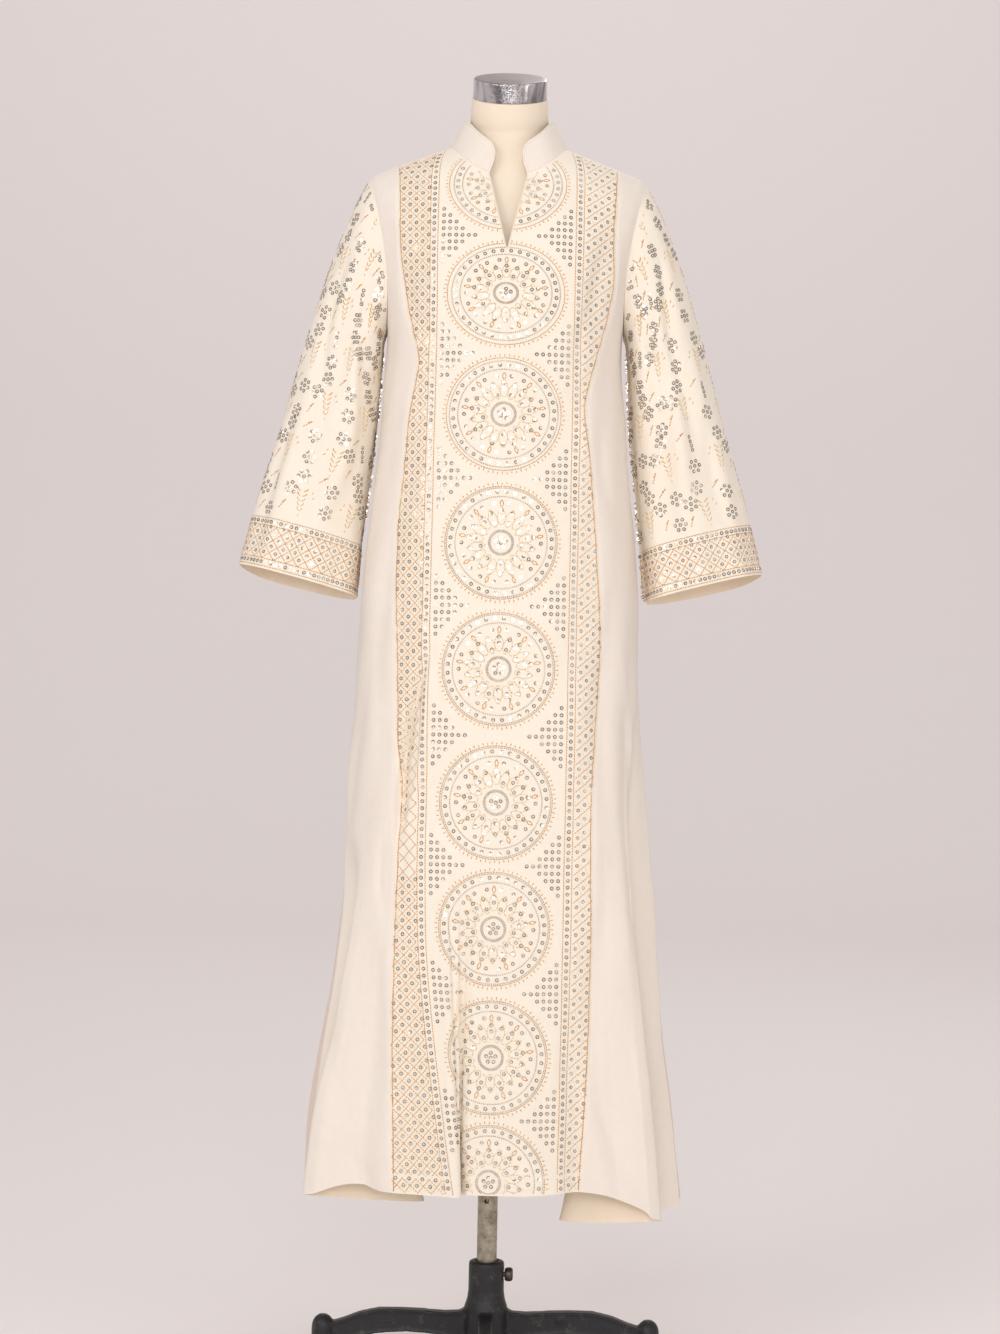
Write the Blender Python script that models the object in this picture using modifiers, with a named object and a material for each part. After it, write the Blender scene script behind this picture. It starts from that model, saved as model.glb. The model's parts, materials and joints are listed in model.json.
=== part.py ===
"""Maxi dress with bell sleeves on a limbless dress form and its cast stand.

Metres, +Z up. The front of the dress faces -Y, the floor is z = 0, and the pole stands on the Z axis.
The cloth is a smooth hanging body worked out from sections, with pleats and flutes that grow towards
the hem. The body is cut into panels along its seams, and each panel is a thin wall.
"""
import math

import bmesh
import bpy
import numpy as np
from mathutils import Matrix, Vector

OBJECT_NAME = "maxi_dress_on_form"

# Cloth
WALL = 0.0016
SEAM_GAP = 0.0003
UNDERARM_Z = 1.447
UNDERARM_CLEARANCE = 0.0008

# Shoulder ridge: a straight line in the front view, falling from the neck and rounded at its outer end
RIDGE_TOP = 1.7395
RIDGE_SLOPE = 0.379
RIDGE_ROUND = 0.050
SHOULDER_END_X = 0.181
SHOULDER_END_REACH = 0.012
SHOULDER_END_DROP = 0.0045
NECK_POINT_X = 0.082

# V slit below the collar
SLIT_APEX_Z = 1.552
SLIT_TOP_Z = 1.662
SLIT_HALF_WIDTH = 0.026

# Collar band
COLLAR_HEIGHT = 0.045
COLLAR_END_ROUND = 0.022
COLLAR_END_SHARE = 0.42
COLLAR_LEAN_SIDE = 0.49
COLLAR_LEAN_FRONT = 0.26
COLLAR_LEAN_BACK = 2.7
COLLAR_FRONT_Y = 0.070

# Dress form and stand
SEAT_GAP = 0.0005
TORSO_SHARE = 0.86
TORSO_RIDGE_SHARE = 0.22
NECK_TILT_DEG = 20.5
CAP_RADIUS = 0.0513
CAP_HEIGHT = 0.0275
POLE_RADIUS = 0.014
POLE_BOTTOM_Z = 0.065
POLE_TOP_Z = 0.985
PIN_HOLE_Z = 0.238
FIT_GAP = 0.0003
BORE_GAP = 0.00006
HUB_RADIUS = 0.025
HUB_TOP_Z = 0.1535
ARM_REACH = 0.2275
FOOT_RADIUS = 0.016
FOOT_TOP_Z = 0.075
SCREW_Z = 0.134
SCREW_STEM_RADIUS = 0.0040
SCREW_HEAD_RADIUS = 0.0098

# Upright outline of a base arm, from inside the hub along its top to the foot and back below
ARM_OUTLINE_COLUMNS = ("reach", "z")
ARM_OUTLINE = (
    (0.0210, 0.0980),
    (0.0270, 0.0880),
    (0.0360, 0.0825),
    (0.0560, 0.0808),
    (0.0850, 0.0828),
    (0.1180, 0.0840),
    (0.1500, 0.0835),
    (0.1770, 0.0775),
    (0.1980, 0.0690),
    (0.2275, 0.0600),
    (0.2275, 0.0200),
    (0.2080, 0.0330),
    (0.1800, 0.0440),
    (0.1500, 0.0500),
    (0.1100, 0.0530),
    (0.0700, 0.0500),
    (0.0400, 0.0440),
    (0.0210, 0.0400),
)

# Layers across an arm: its sides are sunk inside a raised rim
ARM_LAYER_COLUMNS = ("across", "inset")
ARM_LAYERS = (
    (-0.0085, 0.0035),
    (-0.0110, 0.0000),
    (0.0110, 0.0000),
    (0.0085, 0.0035),
)

# Smooth body of the dress, a row for each level
SECTION_COLUMNS = ("z", "half_left", "half_right", "front", "back", "squareness")
SECTIONS = (
    (0.240, 0.2500, 0.2680, 0.160, 0.165, 2.20),
    (0.380, 0.2440, 0.2520, 0.156, 0.160, 2.20),
    (0.470, 0.2320, 0.2390, 0.153, 0.157, 2.22),
    (0.560, 0.2200, 0.2310, 0.151, 0.154, 2.25),
    (0.660, 0.2110, 0.2240, 0.149, 0.151, 2.27),
    (0.790, 0.2080, 0.2110, 0.146, 0.147, 2.30),
    (0.930, 0.2000, 0.1980, 0.144, 0.143, 2.35),
    (1.070, 0.1940, 0.1930, 0.141, 0.137, 2.40),
    (1.160, 0.1870, 0.1860, 0.138, 0.128, 2.42),
    (1.240, 0.1780, 0.1770, 0.135, 0.118, 2.45),
    (1.320, 0.1700, 0.1700, 0.133, 0.111, 2.50),
    (1.390, 0.1660, 0.1640, 0.134, 0.108, 2.50),
    (1.447, 0.1650, 0.1640, 0.136, 0.111, 2.50),
    (1.500, 0.1720, 0.1710, 0.134, 0.115, 2.42),
    (1.560, 0.1850, 0.1845, 0.122, 0.118, 2.32),
    (1.610, 0.2000, 0.2000, 0.105, 0.115, 2.22),
    (1.660, 0.2100, 0.2100, 0.078, 0.100, 2.10),
    (1.710, 0.2150, 0.2150, 0.056, 0.084, 2.00),
    (1.760, 0.2150, 0.2150, 0.050, 0.076, 2.00),
)

# Where the princess seams run, across from centre front
PRINCESS_COLUMNS = ("z", "left", "right", "back")
PRINCESS_SEAMS = (
    (0.240, 0.1270, 0.1290, 0.150),
    (0.560, 0.1350, 0.1375, 0.145),
    (0.800, 0.1360, 0.1330, 0.140),
    (1.000, 0.1420, 0.1420, 0.136),
    (1.160, 0.1450, 0.1320, 0.130),
    (1.260, 0.1365, 0.1230, 0.126),
    (1.345, 0.1280, 0.1140, 0.122),
    (1.405, 0.1200, 0.1270, 0.122),
    (1.447, 0.1300, 0.1380, 0.126),
    (1.490, 0.1400, 0.1460, 0.134),
    (1.600, 0.1500, 0.1510, 0.148),
    (1.680, 0.1545, 0.1545, 0.1545),
    (1.740, 0.1545, 0.1545, 0.1545),
)

# Armhole edge, across from the centre
ARMHOLE_COLUMNS = ("z", "across")
ARMHOLE = (
    (1.447, 0.1645),
    (1.498, 0.1635),
    (1.570, 0.1715),
    (1.614, 0.1805),
    (1.666, 0.1930),
    (1.720, 0.2010),
)

# Neckline heights, across from the centre
NECKLINE_COLUMNS = ("across", "front", "back")
NECKLINE = (
    (0.000, 1.6580, 1.7220),
    (0.026, 1.6620, 1.7150),
    (0.045, 1.6710, 1.7118),
    (0.062, 1.6850, 1.7097),
    (0.075, 1.7000, 1.7088),
    (0.082, 1.7084, 1.7084),
)

# Height of the hem round the girth, in degrees from centre front, left negative
HEM_COLUMNS = ("angle", "z")
HEM_HEIGHTS = (
    (-180, 0.236),
    (-125, 0.240),
    (-90, 0.243),
    (-72, 0.246),
    (-60, 0.256),
    (-51, 0.266),
    (-43, 0.279),
    (-36, 0.2745),
    (-28, 0.2725),
    (0, 0.2735),
    (38, 0.268),
    (54, 0.238),
    (72, 0.224),
    (86, 0.232),
    (102, 0.243),
    (130, 0.241),
    (180, 0.236),
)

# Folded pleats at full depth at the hem. Angles and across values are outward from centre front.
PLEAT_COLUMNS = ("side", "start", "end", "tip", "tip_y", "turn", "turn_y", "roll", "top_z", "growth")
PLEATS = (
    (1, 40, 88, 0.238, -0.103, 0.100, -0.062, 0.011, 0.930, 1.15),
    (-1, 41, 88, 0.254, -0.096, 0.090, -0.056, 0.011, 0.760, 1.10),
    (-1, 24, 5, 0.036, -0.166, 0.044, -0.150, 0.006, 0.760, 1.00),
)

# Shares of a pleat's angle where its path passes each named place
PLEAT_PATH = ("start", "front_layer", "tip_in", "tip", "tip_out", "middle_layer", "turn_in", "turn",
              "turn_out", "back_layer", "end")
PLEAT_SHARES = (0.0, 0.17, 0.30, 0.36, 0.42, 0.54, 0.65, 0.71, 0.77, 0.88, 1.0)

# Soft flutes at full depth at the hem, outward positive
FLUTE_COLUMNS = ("angle", "half_width", "depth", "top_z")
FLUTES = (
    (12, 14, 0.010, 0.700),
    (27, 10, -0.009, 0.620),
    (-30, 12, 0.008, 0.800),
    (104, 13, 0.010, 0.950),
    (123, 12, -0.024, 0.820),
    (143, 13, 0.026, 0.900),
    (163, 11, -0.018, 0.760),
    (-178, 12, 0.022, 0.960),
    (-160, 12, -0.022, 0.860),
    (-139, 13, 0.026, 0.930),
    (-119, 11, -0.020, 0.740),
    (-101, 12, 0.016, 0.880),
)

# Sleeve, a row for each level down the arm. Across and height of its outer and inner edge.
SLEEVE_COLUMNS = ("share", "outer", "outer_z", "inner", "inner_z", "front", "back", "front_lift")
SLEEVE = (
    (0.00, 0.1930, 1.6619, 0.1645, 1.4470, 0.058, 0.058, 0.000),
    (0.07, 0.2080, 1.6365, 0.1680, 1.4340, 0.058, 0.060, 0.000),
    (0.18, 0.2300, 1.5830, 0.1710, 1.4000, 0.056, 0.060, 0.000),
    (0.34, 0.2590, 1.4970, 0.1745, 1.3520, 0.053, 0.058, 0.000),
    (0.52, 0.2900, 1.3900, 0.1805, 1.2850, 0.050, 0.056, 0.002),
    (0.70, 0.3190, 1.2870, 0.1880, 1.2120, 0.049, 0.056, 0.004),
    (0.86, 0.3450, 1.1980, 0.1945, 1.1420, 0.050, 0.057, 0.007),
    (1.00, 0.3660, 1.1200, 0.2000, 1.0770, 0.052, 0.058, 0.010),
)

# Troughs and ridges down each sleeve, by turn round the sleeve from its outer edge over the front
SLEEVE_FOLD_COLUMNS = ("side", "turn", "half_width", "depth", "from_share")
SLEEVE_FOLDS = (
    (-1, 55, 24, 0.006, 0.10),
    (-1, 100, 26, -0.008, 0.15),
    (-1, 145, 20, 0.006, 0.25),
    (-1, 230, 26, 0.007, 0.20),
    (-1, 290, 24, -0.007, 0.30),
    (1, 48, 22, 0.006, 0.15),
    (1, 92, 24, -0.008, 0.10),
    (1, 138, 22, 0.007, 0.20),
    (1, 238, 26, 0.007, 0.25),
    (1, 296, 24, -0.007, 0.20),
)

# Limbless torso, a row for each level up to the root of the neck
TORSO_COLUMNS = ("z", "half", "front", "back", "squareness")
TORSO = (
    (0.930, 0.138, 0.094, 0.094, 2.3),
    (0.938, 0.150, 0.106, 0.106, 2.3),
    (0.990, 0.161, 0.116, 0.117, 2.3),
    (1.060, 0.166, 0.121, 0.121, 2.3),
    (1.130, 0.162, 0.117, 0.116, 2.3),
    (1.210, 0.146, 0.107, 0.103, 2.3),
    (1.290, 0.130, 0.100, 0.091, 2.3),
    (1.350, 0.131, 0.105, 0.090, 2.3),
    (1.410, 0.141, 0.116, 0.095, 2.3),
    (1.470, 0.150, 0.123, 0.101, 2.3),
    (1.520, 0.156, 0.117, 0.105, 2.3),
    (1.580, 0.166, 0.100, 0.105, 2.2),
    (1.630, 0.176, 0.081, 0.098, 2.1),
    (1.658, 0.180, 0.069, 0.086, 2.0),
)
TORSO_RIDGE_LEVELS = (1.669, 1.677, 1.685, 1.693, 1.701)
TORSO_RIDGE_FRONT = (0.062, 0.058, 0.054, 0.051, 0.049)
TORSO_RIDGE_BACK = (0.080, 0.074, 0.069, 0.064, 0.060)

# Neck rings above the shoulders
NECK_COLUMNS = ("y", "z", "across", "deep", "tilt")
NECK = (
    (0.0010, 1.7090, 0.0620, 0.0530, 6.0),
    (0.0010, 1.7210, 0.0590, 0.0530, 11.0),
    (0.0005, 1.7360, 0.0560, 0.0530, 16.0),
    (-0.0070, 1.7530, 0.0540, 0.0530, 19.0),
    (-0.0165, 1.7770, 0.0525, 0.0525, 20.5),
)

# Grid of the panels
BODY_LEVELS = (0.0, 0.06, 0.125, 0.20, 0.29, 0.38, 0.47, 0.56, 0.65, 0.74, 0.82, 0.885, 0.93, 0.965, 1.0)
BODICE_SHARES = (0.03, 0.10, 0.20, 0.33, None, 0.62, 0.74, 0.85, 0.92, 0.962, 0.987, 1.0)
FRONT_SHARES = (0.0, 0.10, 0.20, 0.28, 0.34, 0.39, None, 0.49, 0.58, 0.69, 0.81, 1.0)
BACK_SHARES = (0.0, 0.12, 0.24, 0.35, 0.43, 0.49, None, 0.76, 1.0)
SIDE_FRONT_COLUMNS = 16
SIDE_BACK_COLUMNS = 8
SLEEVE_LEVELS = (0.0, 0.04, 0.10, 0.18, 0.27, 0.37, 0.48, 0.59, 0.70, 0.80, 0.90, 1.0)
COLLAR_SHARES = (0.0, 0.35, 0.7, 1.0)
TORSO_COLUMNS_ROUND = 32


def column(rows, names, name):
    """One named column of a table, as an array."""
    return np.array([row[names.index(name)] for row in rows], dtype=float)


def smooth(knots, values, at):
    """Smooth curve through a table's values, with slopes taken from the neighbours."""
    at = min(max(at, knots[0]), knots[-1])
    i = int(min(max(np.searchsorted(knots, at, side="right") - 1, 0), len(knots) - 2))
    steps = np.diff(knots)
    rises = np.diff(values) / steps

    def slope(k):
        if k == 0:
            return rises[0]
        if k == len(knots) - 1:
            return rises[-1]
        return (rises[k - 1] * steps[k] + rises[k] * steps[k - 1]) / (steps[k - 1] + steps[k])

    h = steps[i]
    t = (at - knots[i]) / h
    start = (1 + 2 * t) * (1 - t) ** 2 * values[i] + t * (1 - t) ** 2 * h * slope(i)
    end = t * t * (3 - 2 * t) * values[i + 1] + t * t * (t - 1) * h * slope(i + 1)
    return start + end


class Table:
    """A short table with named columns, read as smooth curves over its first column."""

    def __init__(self, names, rows):
        self.knots = column(rows, names, names[0])
        self.values = {name: column(rows, names, name) for name in names[1:]}

    def at(self, name, where):
        return smooth(self.knots, self.values[name], where)


SECTION = Table(SECTION_COLUMNS, SECTIONS)
PRINCESS = Table(PRINCESS_COLUMNS, PRINCESS_SEAMS)
ARM = Table(ARMHOLE_COLUMNS, ARMHOLE)
NECK_CUT = Table(NECKLINE_COLUMNS, NECKLINE)
HEM = Table(HEM_COLUMNS, HEM_HEIGHTS)
SLEEVE_CUT = Table(SLEEVE_COLUMNS, SLEEVE)


def ridge_z(across):
    past = max(across - SHOULDER_END_X, 0.0) / SHOULDER_END_REACH
    return RIDGE_TOP - RIDGE_SLOPE * across - SHOULDER_END_DROP * past ** 2


def half_width(side, z):
    return SECTION.at("half_right" if side > 0 else "half_left", z)


def base_point(angle, z):
    """The smooth body without folds. The angle is in degrees from centre front, left negative."""
    turn = math.radians(angle)
    sine, cosine = math.sin(turn), math.cos(turn)
    power = 2 / SECTION.at("squareness", z)
    half = half_width(1 if sine >= 0 else -1, z)
    depth = SECTION.at("front" if cosine >= 0 else "back", z)
    x = half * math.copysign(abs(sine) ** power, sine)
    y = -depth * math.copysign(abs(cosine) ** power, cosine)
    rise = (z - (ridge_z(abs(x)) - RIDGE_ROUND)) / RIDGE_ROUND
    y *= math.sqrt(1 - min(max(rise, 0.0), 1.0) ** 2)
    return np.array((x, y, z))


def angle_across(across, side, z):
    """Angle from the centre line at which the smooth body is this far across."""
    share = min(across / half_width(side, z), 1.0)
    return math.degrees(math.asin(share ** (SECTION.at("squareness", z) / 2)))


HEM_REFERENCE_Z = SECTIONS[0][0]


def pleat_curve(row):
    """Knots of one pleat: angles, and how far the hem leaves the smooth body there."""
    pleat = dict(zip(PLEAT_COLUMNS, row))
    side = pleat["side"]
    start = base_point(side * pleat["start"], HEM_REFERENCE_Z)
    end = base_point(side * pleat["end"], HEM_REFERENCE_Z)
    tip, turn, roll = pleat["tip"], pleat["turn"], pleat["roll"]
    tip_y, turn_y = pleat["tip_y"], pleat["turn_y"]
    way = math.copysign(1.0, tip - turn)
    start_x, end_x = side * start[0], side * end[0]
    places = {
        "start": (start_x, start[1]),
        "front_layer": (0.4 * start_x + 0.6 * tip, 0.4 * start[1] + 0.6 * (tip_y - roll)),
        "tip_in": (tip - way * roll, tip_y - roll),
        "tip": (tip, tip_y),
        "tip_out": (tip - way * roll, tip_y + roll),
        "middle_layer": ((tip + turn) / 2, (tip_y + turn_y) / 2),
        "turn_in": (turn + way * roll, turn_y - roll),
        "turn": (turn, turn_y),
        "turn_out": (turn + way * roll, turn_y + roll),
        "back_layer": (0.5 * turn + 0.5 * end_x, 0.55 * (turn_y + roll) + 0.45 * end[1]),
        "end": (end_x, end[1]),
    }
    angles, moves = [], []
    for share, place in zip(PLEAT_SHARES, PLEAT_PATH):
        angle = pleat["start"] + share * (pleat["end"] - pleat["start"])
        smooth_place = base_point(side * angle, HEM_REFERENCE_Z)
        across, forward = places[place]
        angles.append(angle)
        moves.append((side * across - smooth_place[0], forward - smooth_place[1]))
    if angles[0] > angles[-1]:
        angles.reverse()
        moves.reverse()
    return pleat, np.array(angles), np.array(moves)


PLEAT_CURVES = [pleat_curve(row) for row in PLEATS]


def grown(top_z, z, hem_z, growth):
    """How far a fold has grown at this height: nothing at its top, all of it at the hem."""
    share = (top_z - z) / (top_z - hem_z)
    return max(share, 0.0) ** growth


def body_point(angle, z):
    """A point of the hanging cloth, folds included."""
    point = base_point(angle, z)
    hem_z = HEM.at("z", angle)
    for pleat, angles, moves in PLEAT_CURVES:
        outward = angle * pleat["side"]
        if angles[0] < outward < angles[-1] and z < pleat["top_z"]:
            share = grown(pleat["top_z"], z, hem_z, pleat["growth"])
            point[0] += share * smooth(angles, moves[:, 0], outward)
            point[1] += share * smooth(angles, moves[:, 1], outward)
    outward = np.array((point[0], point[1] * 1.6, 0.0))
    outward /= max(np.linalg.norm(outward), 1e-9)
    for row in FLUTES:
        flute = dict(zip(FLUTE_COLUMNS, row))
        offset = (angle - flute["angle"] + 180) % 360 - 180
        if abs(offset) < flute["half_width"] and z < flute["top_z"]:
            wave = 0.5 + 0.5 * math.cos(math.pi * offset / flute["half_width"])
            point += outward * flute["depth"] * wave * grown(flute["top_z"], z, hem_z, 1.3)
    return point


def slit_half(z):
    share = (z - SLIT_APEX_Z) / (SLIT_TOP_Z - SLIT_APEX_Z)
    return SLIT_HALF_WIDTH * min(max(share, 0.0), 1.0)


def settled_top(across_at, face):
    """Height at which a column meets the neckline or the shoulder ridge."""
    z = SLIT_TOP_Z
    for _ in range(40):
        across = across_at(z)
        if across < NECK_POINT_X - 1e-6:
            z = NECK_CUT.at(face, across)
        else:
            z = ridge_z(across)
    return z


def centre_columns(side, face):
    """Columns from the centre line to the princess line: each gives the distance across at a height."""
    seam = {("front", -1): "left", ("front", 1): "right"}.get((face, side), "back")
    shares = FRONT_SHARES if face == "front" else BACK_SHARES
    inner = slit_half if face == "front" else (lambda z: 0.0)
    seam_top = PRINCESS.at(seam, ridge_z(NECK_POINT_X))
    neck_share = (NECK_POINT_X - inner(SLIT_TOP_Z)) / (seam_top - inner(SLIT_TOP_Z))
    columns = []
    for share in shares:
        part = neck_share if share is None else share
        columns.append(lambda z, part=part: inner(z) + part * (PRINCESS.at(seam, z) - inner(z)))
    return columns, seam


def half_grid(side, face):
    """Half of the front or back as rows of points, and the number of its column at the princess line."""
    columns, seam = centre_columns(side, face)
    side_count = SIDE_FRONT_COLUMNS if face == "front" else SIDE_BACK_COLUMNS
    seam_column = len(columns) - 1

    def angle_at(index, z):
        if index <= seam_column:
            return angle_across(columns[index](z), side, z)
        inner = angle_across(PRINCESS.at(seam, z), side, z)
        outer = 90.0 if z <= UNDERARM_Z else angle_across(ARM.at("across", z), side, z)
        return inner + (outer - inner) * (index - seam_column) / side_count

    def point_at(index, z):
        angle = angle_at(index, z)
        return body_point(side * (angle if face == "front" else 180 - angle), z)

    count = seam_column + side_count + 1
    tops = [settled_top(lambda z, i=i: abs(base_point(side * angle_at(i, z), z)[0]), face)
            for i in range(count)]
    apex_share = (SLIT_APEX_Z - UNDERARM_Z) / (tops[0] - UNDERARM_Z)
    rows = []
    for level in BODY_LEVELS:
        row = []
        for index in range(count):
            z = HEM_REFERENCE_Z
            for _ in range(6):
                angle = angle_at(index, z)
                signed = side * (angle if face == "front" else 180 - angle)
                hem_z = HEM.at("z", signed)
                z = hem_z + level * (UNDERARM_Z - hem_z)
            row.append(point_at(index, z))
        rows.append(row)
    for share in BODICE_SHARES:
        part = apex_share if share is None else share
        rows.append([point_at(index, UNDERARM_Z + part * (tops[index] - UNDERARM_Z))
                     for index in range(count)])
    return rows, seam_column


def quads_of(rows, first, last, flip):
    """Faces between two columns of a grid, as tuples of points."""
    faces = []
    for below, above in zip(rows[:-1], rows[1:]):
        for i in range(first, last):
            face = [below[i], below[i + 1], above[i + 1], above[i]]
            faces.append(face[::-1] if flip else face)
    return faces


def key_of(point):
    return tuple(int(round(value * 1e7)) for value in point)


def face_normal(face):
    """Area-weighted normal of a face."""
    return np.cross(face[2] - face[0], face[3] - face[1]) / 2


def add_normals(faces, normals):
    for face in faces:
        normal = face_normal(face)
        for point in face:
            key = key_of(point)
            normals[key] = normals.get(key, np.zeros(3)) + normal


def unit(vector):
    return vector / max(np.linalg.norm(vector), 1e-12)


def split_quad(loop, points):
    """Triangles of a four-sided face, split along its shorter diagonal."""
    if len(loop) == 3:
        return [tuple(loop)]
    a, b, c, d = loop
    if np.linalg.norm(points[a] - points[c]) <= np.linalg.norm(points[b] - points[d]):
        return [(a, b, c), (a, c, d)]
    return [(a, b, d), (b, c, d)]


def cloth_object(name, faces, normals, colour):
    """A wall of cloth on these faces. Its edges step back half a seam gap from the neighbours."""
    order, points = {}, []
    for face in faces:
        for point in face:
            key = key_of(point)
            if key not in order:
                order[key] = len(points)
                points.append(point)
    loops = []
    for face in faces:
        loop = []
        for point in face:
            index = order[key_of(point)]
            if index not in loop:
                loop.append(index)
        if len(loop) > 2:
            loops.append(loop)
    edges = {}
    for loop in loops:
        for a, b in zip(loop, loop[1:] + loop[:1]):
            edges.setdefault((min(a, b), max(a, b)), []).append((a, b))
    rim = [uses[0] for uses in edges.values() if len(uses) == 1]
    along = {}
    for a, b in rim:
        step = points[b] - points[a]
        along[a] = along.get(a, np.zeros(3)) + step
        along[b] = along.get(b, np.zeros(3)) + step
    inward = {index: np.zeros(3) for index in along}
    for loop in loops:
        centre = sum(points[i] for i in loop) / len(loop)
        for i in loop:
            if i in inward:
                inward[i] += unit(centre - points[i])
    outer = []
    for index, point in enumerate(points):
        if index in along:
            tangent = unit(along[index])
            back = inward[index] - tangent * float(np.dot(tangent, inward[index]))
            point = point + unit(back) * SEAM_GAP / 2
        outer.append(point)
    inner = [point - unit(normals[key_of(source)]) * WALL for point, source in zip(outer, points)]
    count = len(points)
    triangles = [triangle for loop in loops for triangle in split_quad(loop, points)]
    mesh_faces = triangles + [tuple(i + count for i in reversed(triangle)) for triangle in triangles]
    mesh_faces += [(b, a, a + count, b + count) for a, b in rim]
    return add_mesh(name, outer + inner, mesh_faces, colour, roughness=0.75)


def material(name, colour, roughness, metallic=0.0):
    made = bpy.data.materials.new(name)
    made.use_nodes = True
    shader = made.node_tree.nodes["Principled BSDF"]
    shader.inputs["Base Color"].default_value = (*colour, 1.0)
    shader.inputs["Roughness"].default_value = roughness
    shader.inputs["Metallic"].default_value = metallic
    return made


def add_mesh(name, points, faces, colour, roughness, metallic=0.0):
    mesh = bpy.data.meshes.new(name)
    mesh.from_pydata([tuple(point) for point in points], [], faces)
    mesh.validate()
    mesh.materials.append(material(name, colour, roughness, metallic))
    mesh.shade_smooth()
    mesh.set_sharp_from_angle(angle=math.radians(40))
    made = bpy.data.objects.new(name, mesh)
    parts.objects.link(made)
    return made


IVORY = (0.90, 0.82, 0.71)
EMBROIDERED = (0.92, 0.85, 0.73)
FORM_CLOTH = (0.88, 0.78, 0.65)
CHROME = (0.62, 0.62, 0.64)
WORN_METAL = (0.34, 0.31, 0.26)
CAST_IRON = (0.045, 0.045, 0.045)


def build_body(normals):
    """Panels of the body as lists of faces, and the points of the armhole and neckline edges."""
    grids = {(side, face): half_grid(side, face) for side in (-1, 1) for face in ("front", "back")}
    panels = {"front_centre_panel": [], "back_panel": []}
    for side, word in ((-1, "left"), (1, "right")):
        rows, seam = grids[side, "front"]
        last = len(rows[0]) - 1
        flip = side < 0
        panels["front_centre_panel"] += quads_of(rows, 0, seam, flip)
        panels["side_front_" + word] = quads_of(rows, seam, last, flip)
        rows, seam = grids[side, "back"]
        panels["back_panel"] += quads_of(rows, 0, len(rows[0]) - 1, not flip)
    for faces in panels.values():
        add_normals(faces, normals)
    for side, face in grids:
        for point in grids[side, face][0][-1]:
            if abs(point[0]) > NECK_POINT_X - 1e-4:
                normals[key_of(point)] = unit(np.array((side * RIDGE_SLOPE, 0.0, 1.0)))
    return grids, panels


def armhole_ring(grids, side):
    """Points of the armhole edge: from the shoulder down the front, and up the back."""
    first_row = len(BODY_LEVELS) - 1
    front = [row[-1] for row in grids[side, "front"][0][first_row:]]
    back = [row[-1] for row in grids[side, "back"][0][first_row:]]
    return front[::-1] + back[1:-1]


def neckline_ring(grids):
    """Points of the neckline edge: from the slit's left side round the back to its right side."""
    ring = []
    for side, face, outward in ((-1, "front", True), (-1, "back", False), (1, "back", True),
                                (1, "front", False)):
        shares = FRONT_SHARES if face == "front" else BACK_SHARES
        points = grids[side, face][0][-1][:shares.index(None) + 1]
        points = points if outward else points[::-1]
        ring += points if not ring else points[1:]
    return ring


def sleeve_faces(ring, side):
    """The sleeve hangs from the armhole edge and opens into a bell."""
    sleeve_start = {name: SLEEVE_CUT.at(name, 0.0) for name in SLEEVE_COLUMNS[1:]}
    outer = np.array((sleeve_start["outer"], sleeve_start["outer_z"]))
    inner = np.array((sleeve_start["inner"], sleeve_start["inner_z"]))
    middle, reach = (outer + inner) / 2, (outer - inner) / 2
    length = np.linalg.norm(reach)
    axis = reach / length
    across = np.array((axis[1], -axis[0]))
    local = []
    for point in ring:
        flat = np.array((side * point[0], point[2])) - middle
        depth = sleeve_start["front"] if point[1] < 0 else sleeve_start["back"]
        local.append((float(flat @ axis) / length, point[1] / depth, float(flat @ across)))
    folds = [dict(zip(SLEEVE_FOLD_COLUMNS, row)) for row in SLEEVE_FOLDS if row[0] == side]
    rows = []
    for share in SLEEVE_LEVELS:
        cut = {name: SLEEVE_CUT.at(name, share) for name in SLEEVE_COLUMNS[1:]}
        outer = np.array((cut["outer"], cut["outer_z"]))
        inner = np.array((cut["inner"], cut["inner_z"]))
        middle, reach = (outer + inner) / 2, (outer - inner) / 2
        length = np.linalg.norm(reach)
        axis = reach / length
        across = np.array((axis[1], -axis[0]))
        fade = max(1 - share / 0.18, 0.0) ** 2
        row = []
        for along, deep, bulge in local:
            turn = math.degrees(math.atan2(-deep, along)) % 360
            swell = 0.0
            for fold in folds:
                offset = (turn - fold["turn"] + 180) % 360 - 180
                if abs(offset) < fold["half_width"] and share > fold["from_share"]:
                    wave = 0.5 + 0.5 * math.cos(math.pi * offset / fold["half_width"])
                    grow = (share - fold["from_share"]) / (1 - fold["from_share"])
                    swell += fold["depth"] * wave * grow
            depth = cut["front"] if deep < 0 else cut["back"]
            flat = middle + axis * along * length + across * bulge * fade
            y = deep * depth + math.copysign(swell, deep) * abs(deep)
            lift = -cut["front_lift"] * max(deep, 0.0) + cut["front_lift"] * max(-deep, 0.0) * 0.4
            row.append(np.array((side * flat[0], y, flat[1] + lift)))
        rows.append(row)
    for index, point in enumerate(ring):
        low = min(max((1.52 - point[2]) / (1.52 - UNDERARM_Z), 0.0), 1.0)
        rows[0][index] = point + np.array((side * UNDERARM_CLEARANCE * low, 0.0, 0.0))
    closed = [row + row[:1] for row in rows]
    return quads_of(closed, 0, len(ring), side < 0), rows


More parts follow.
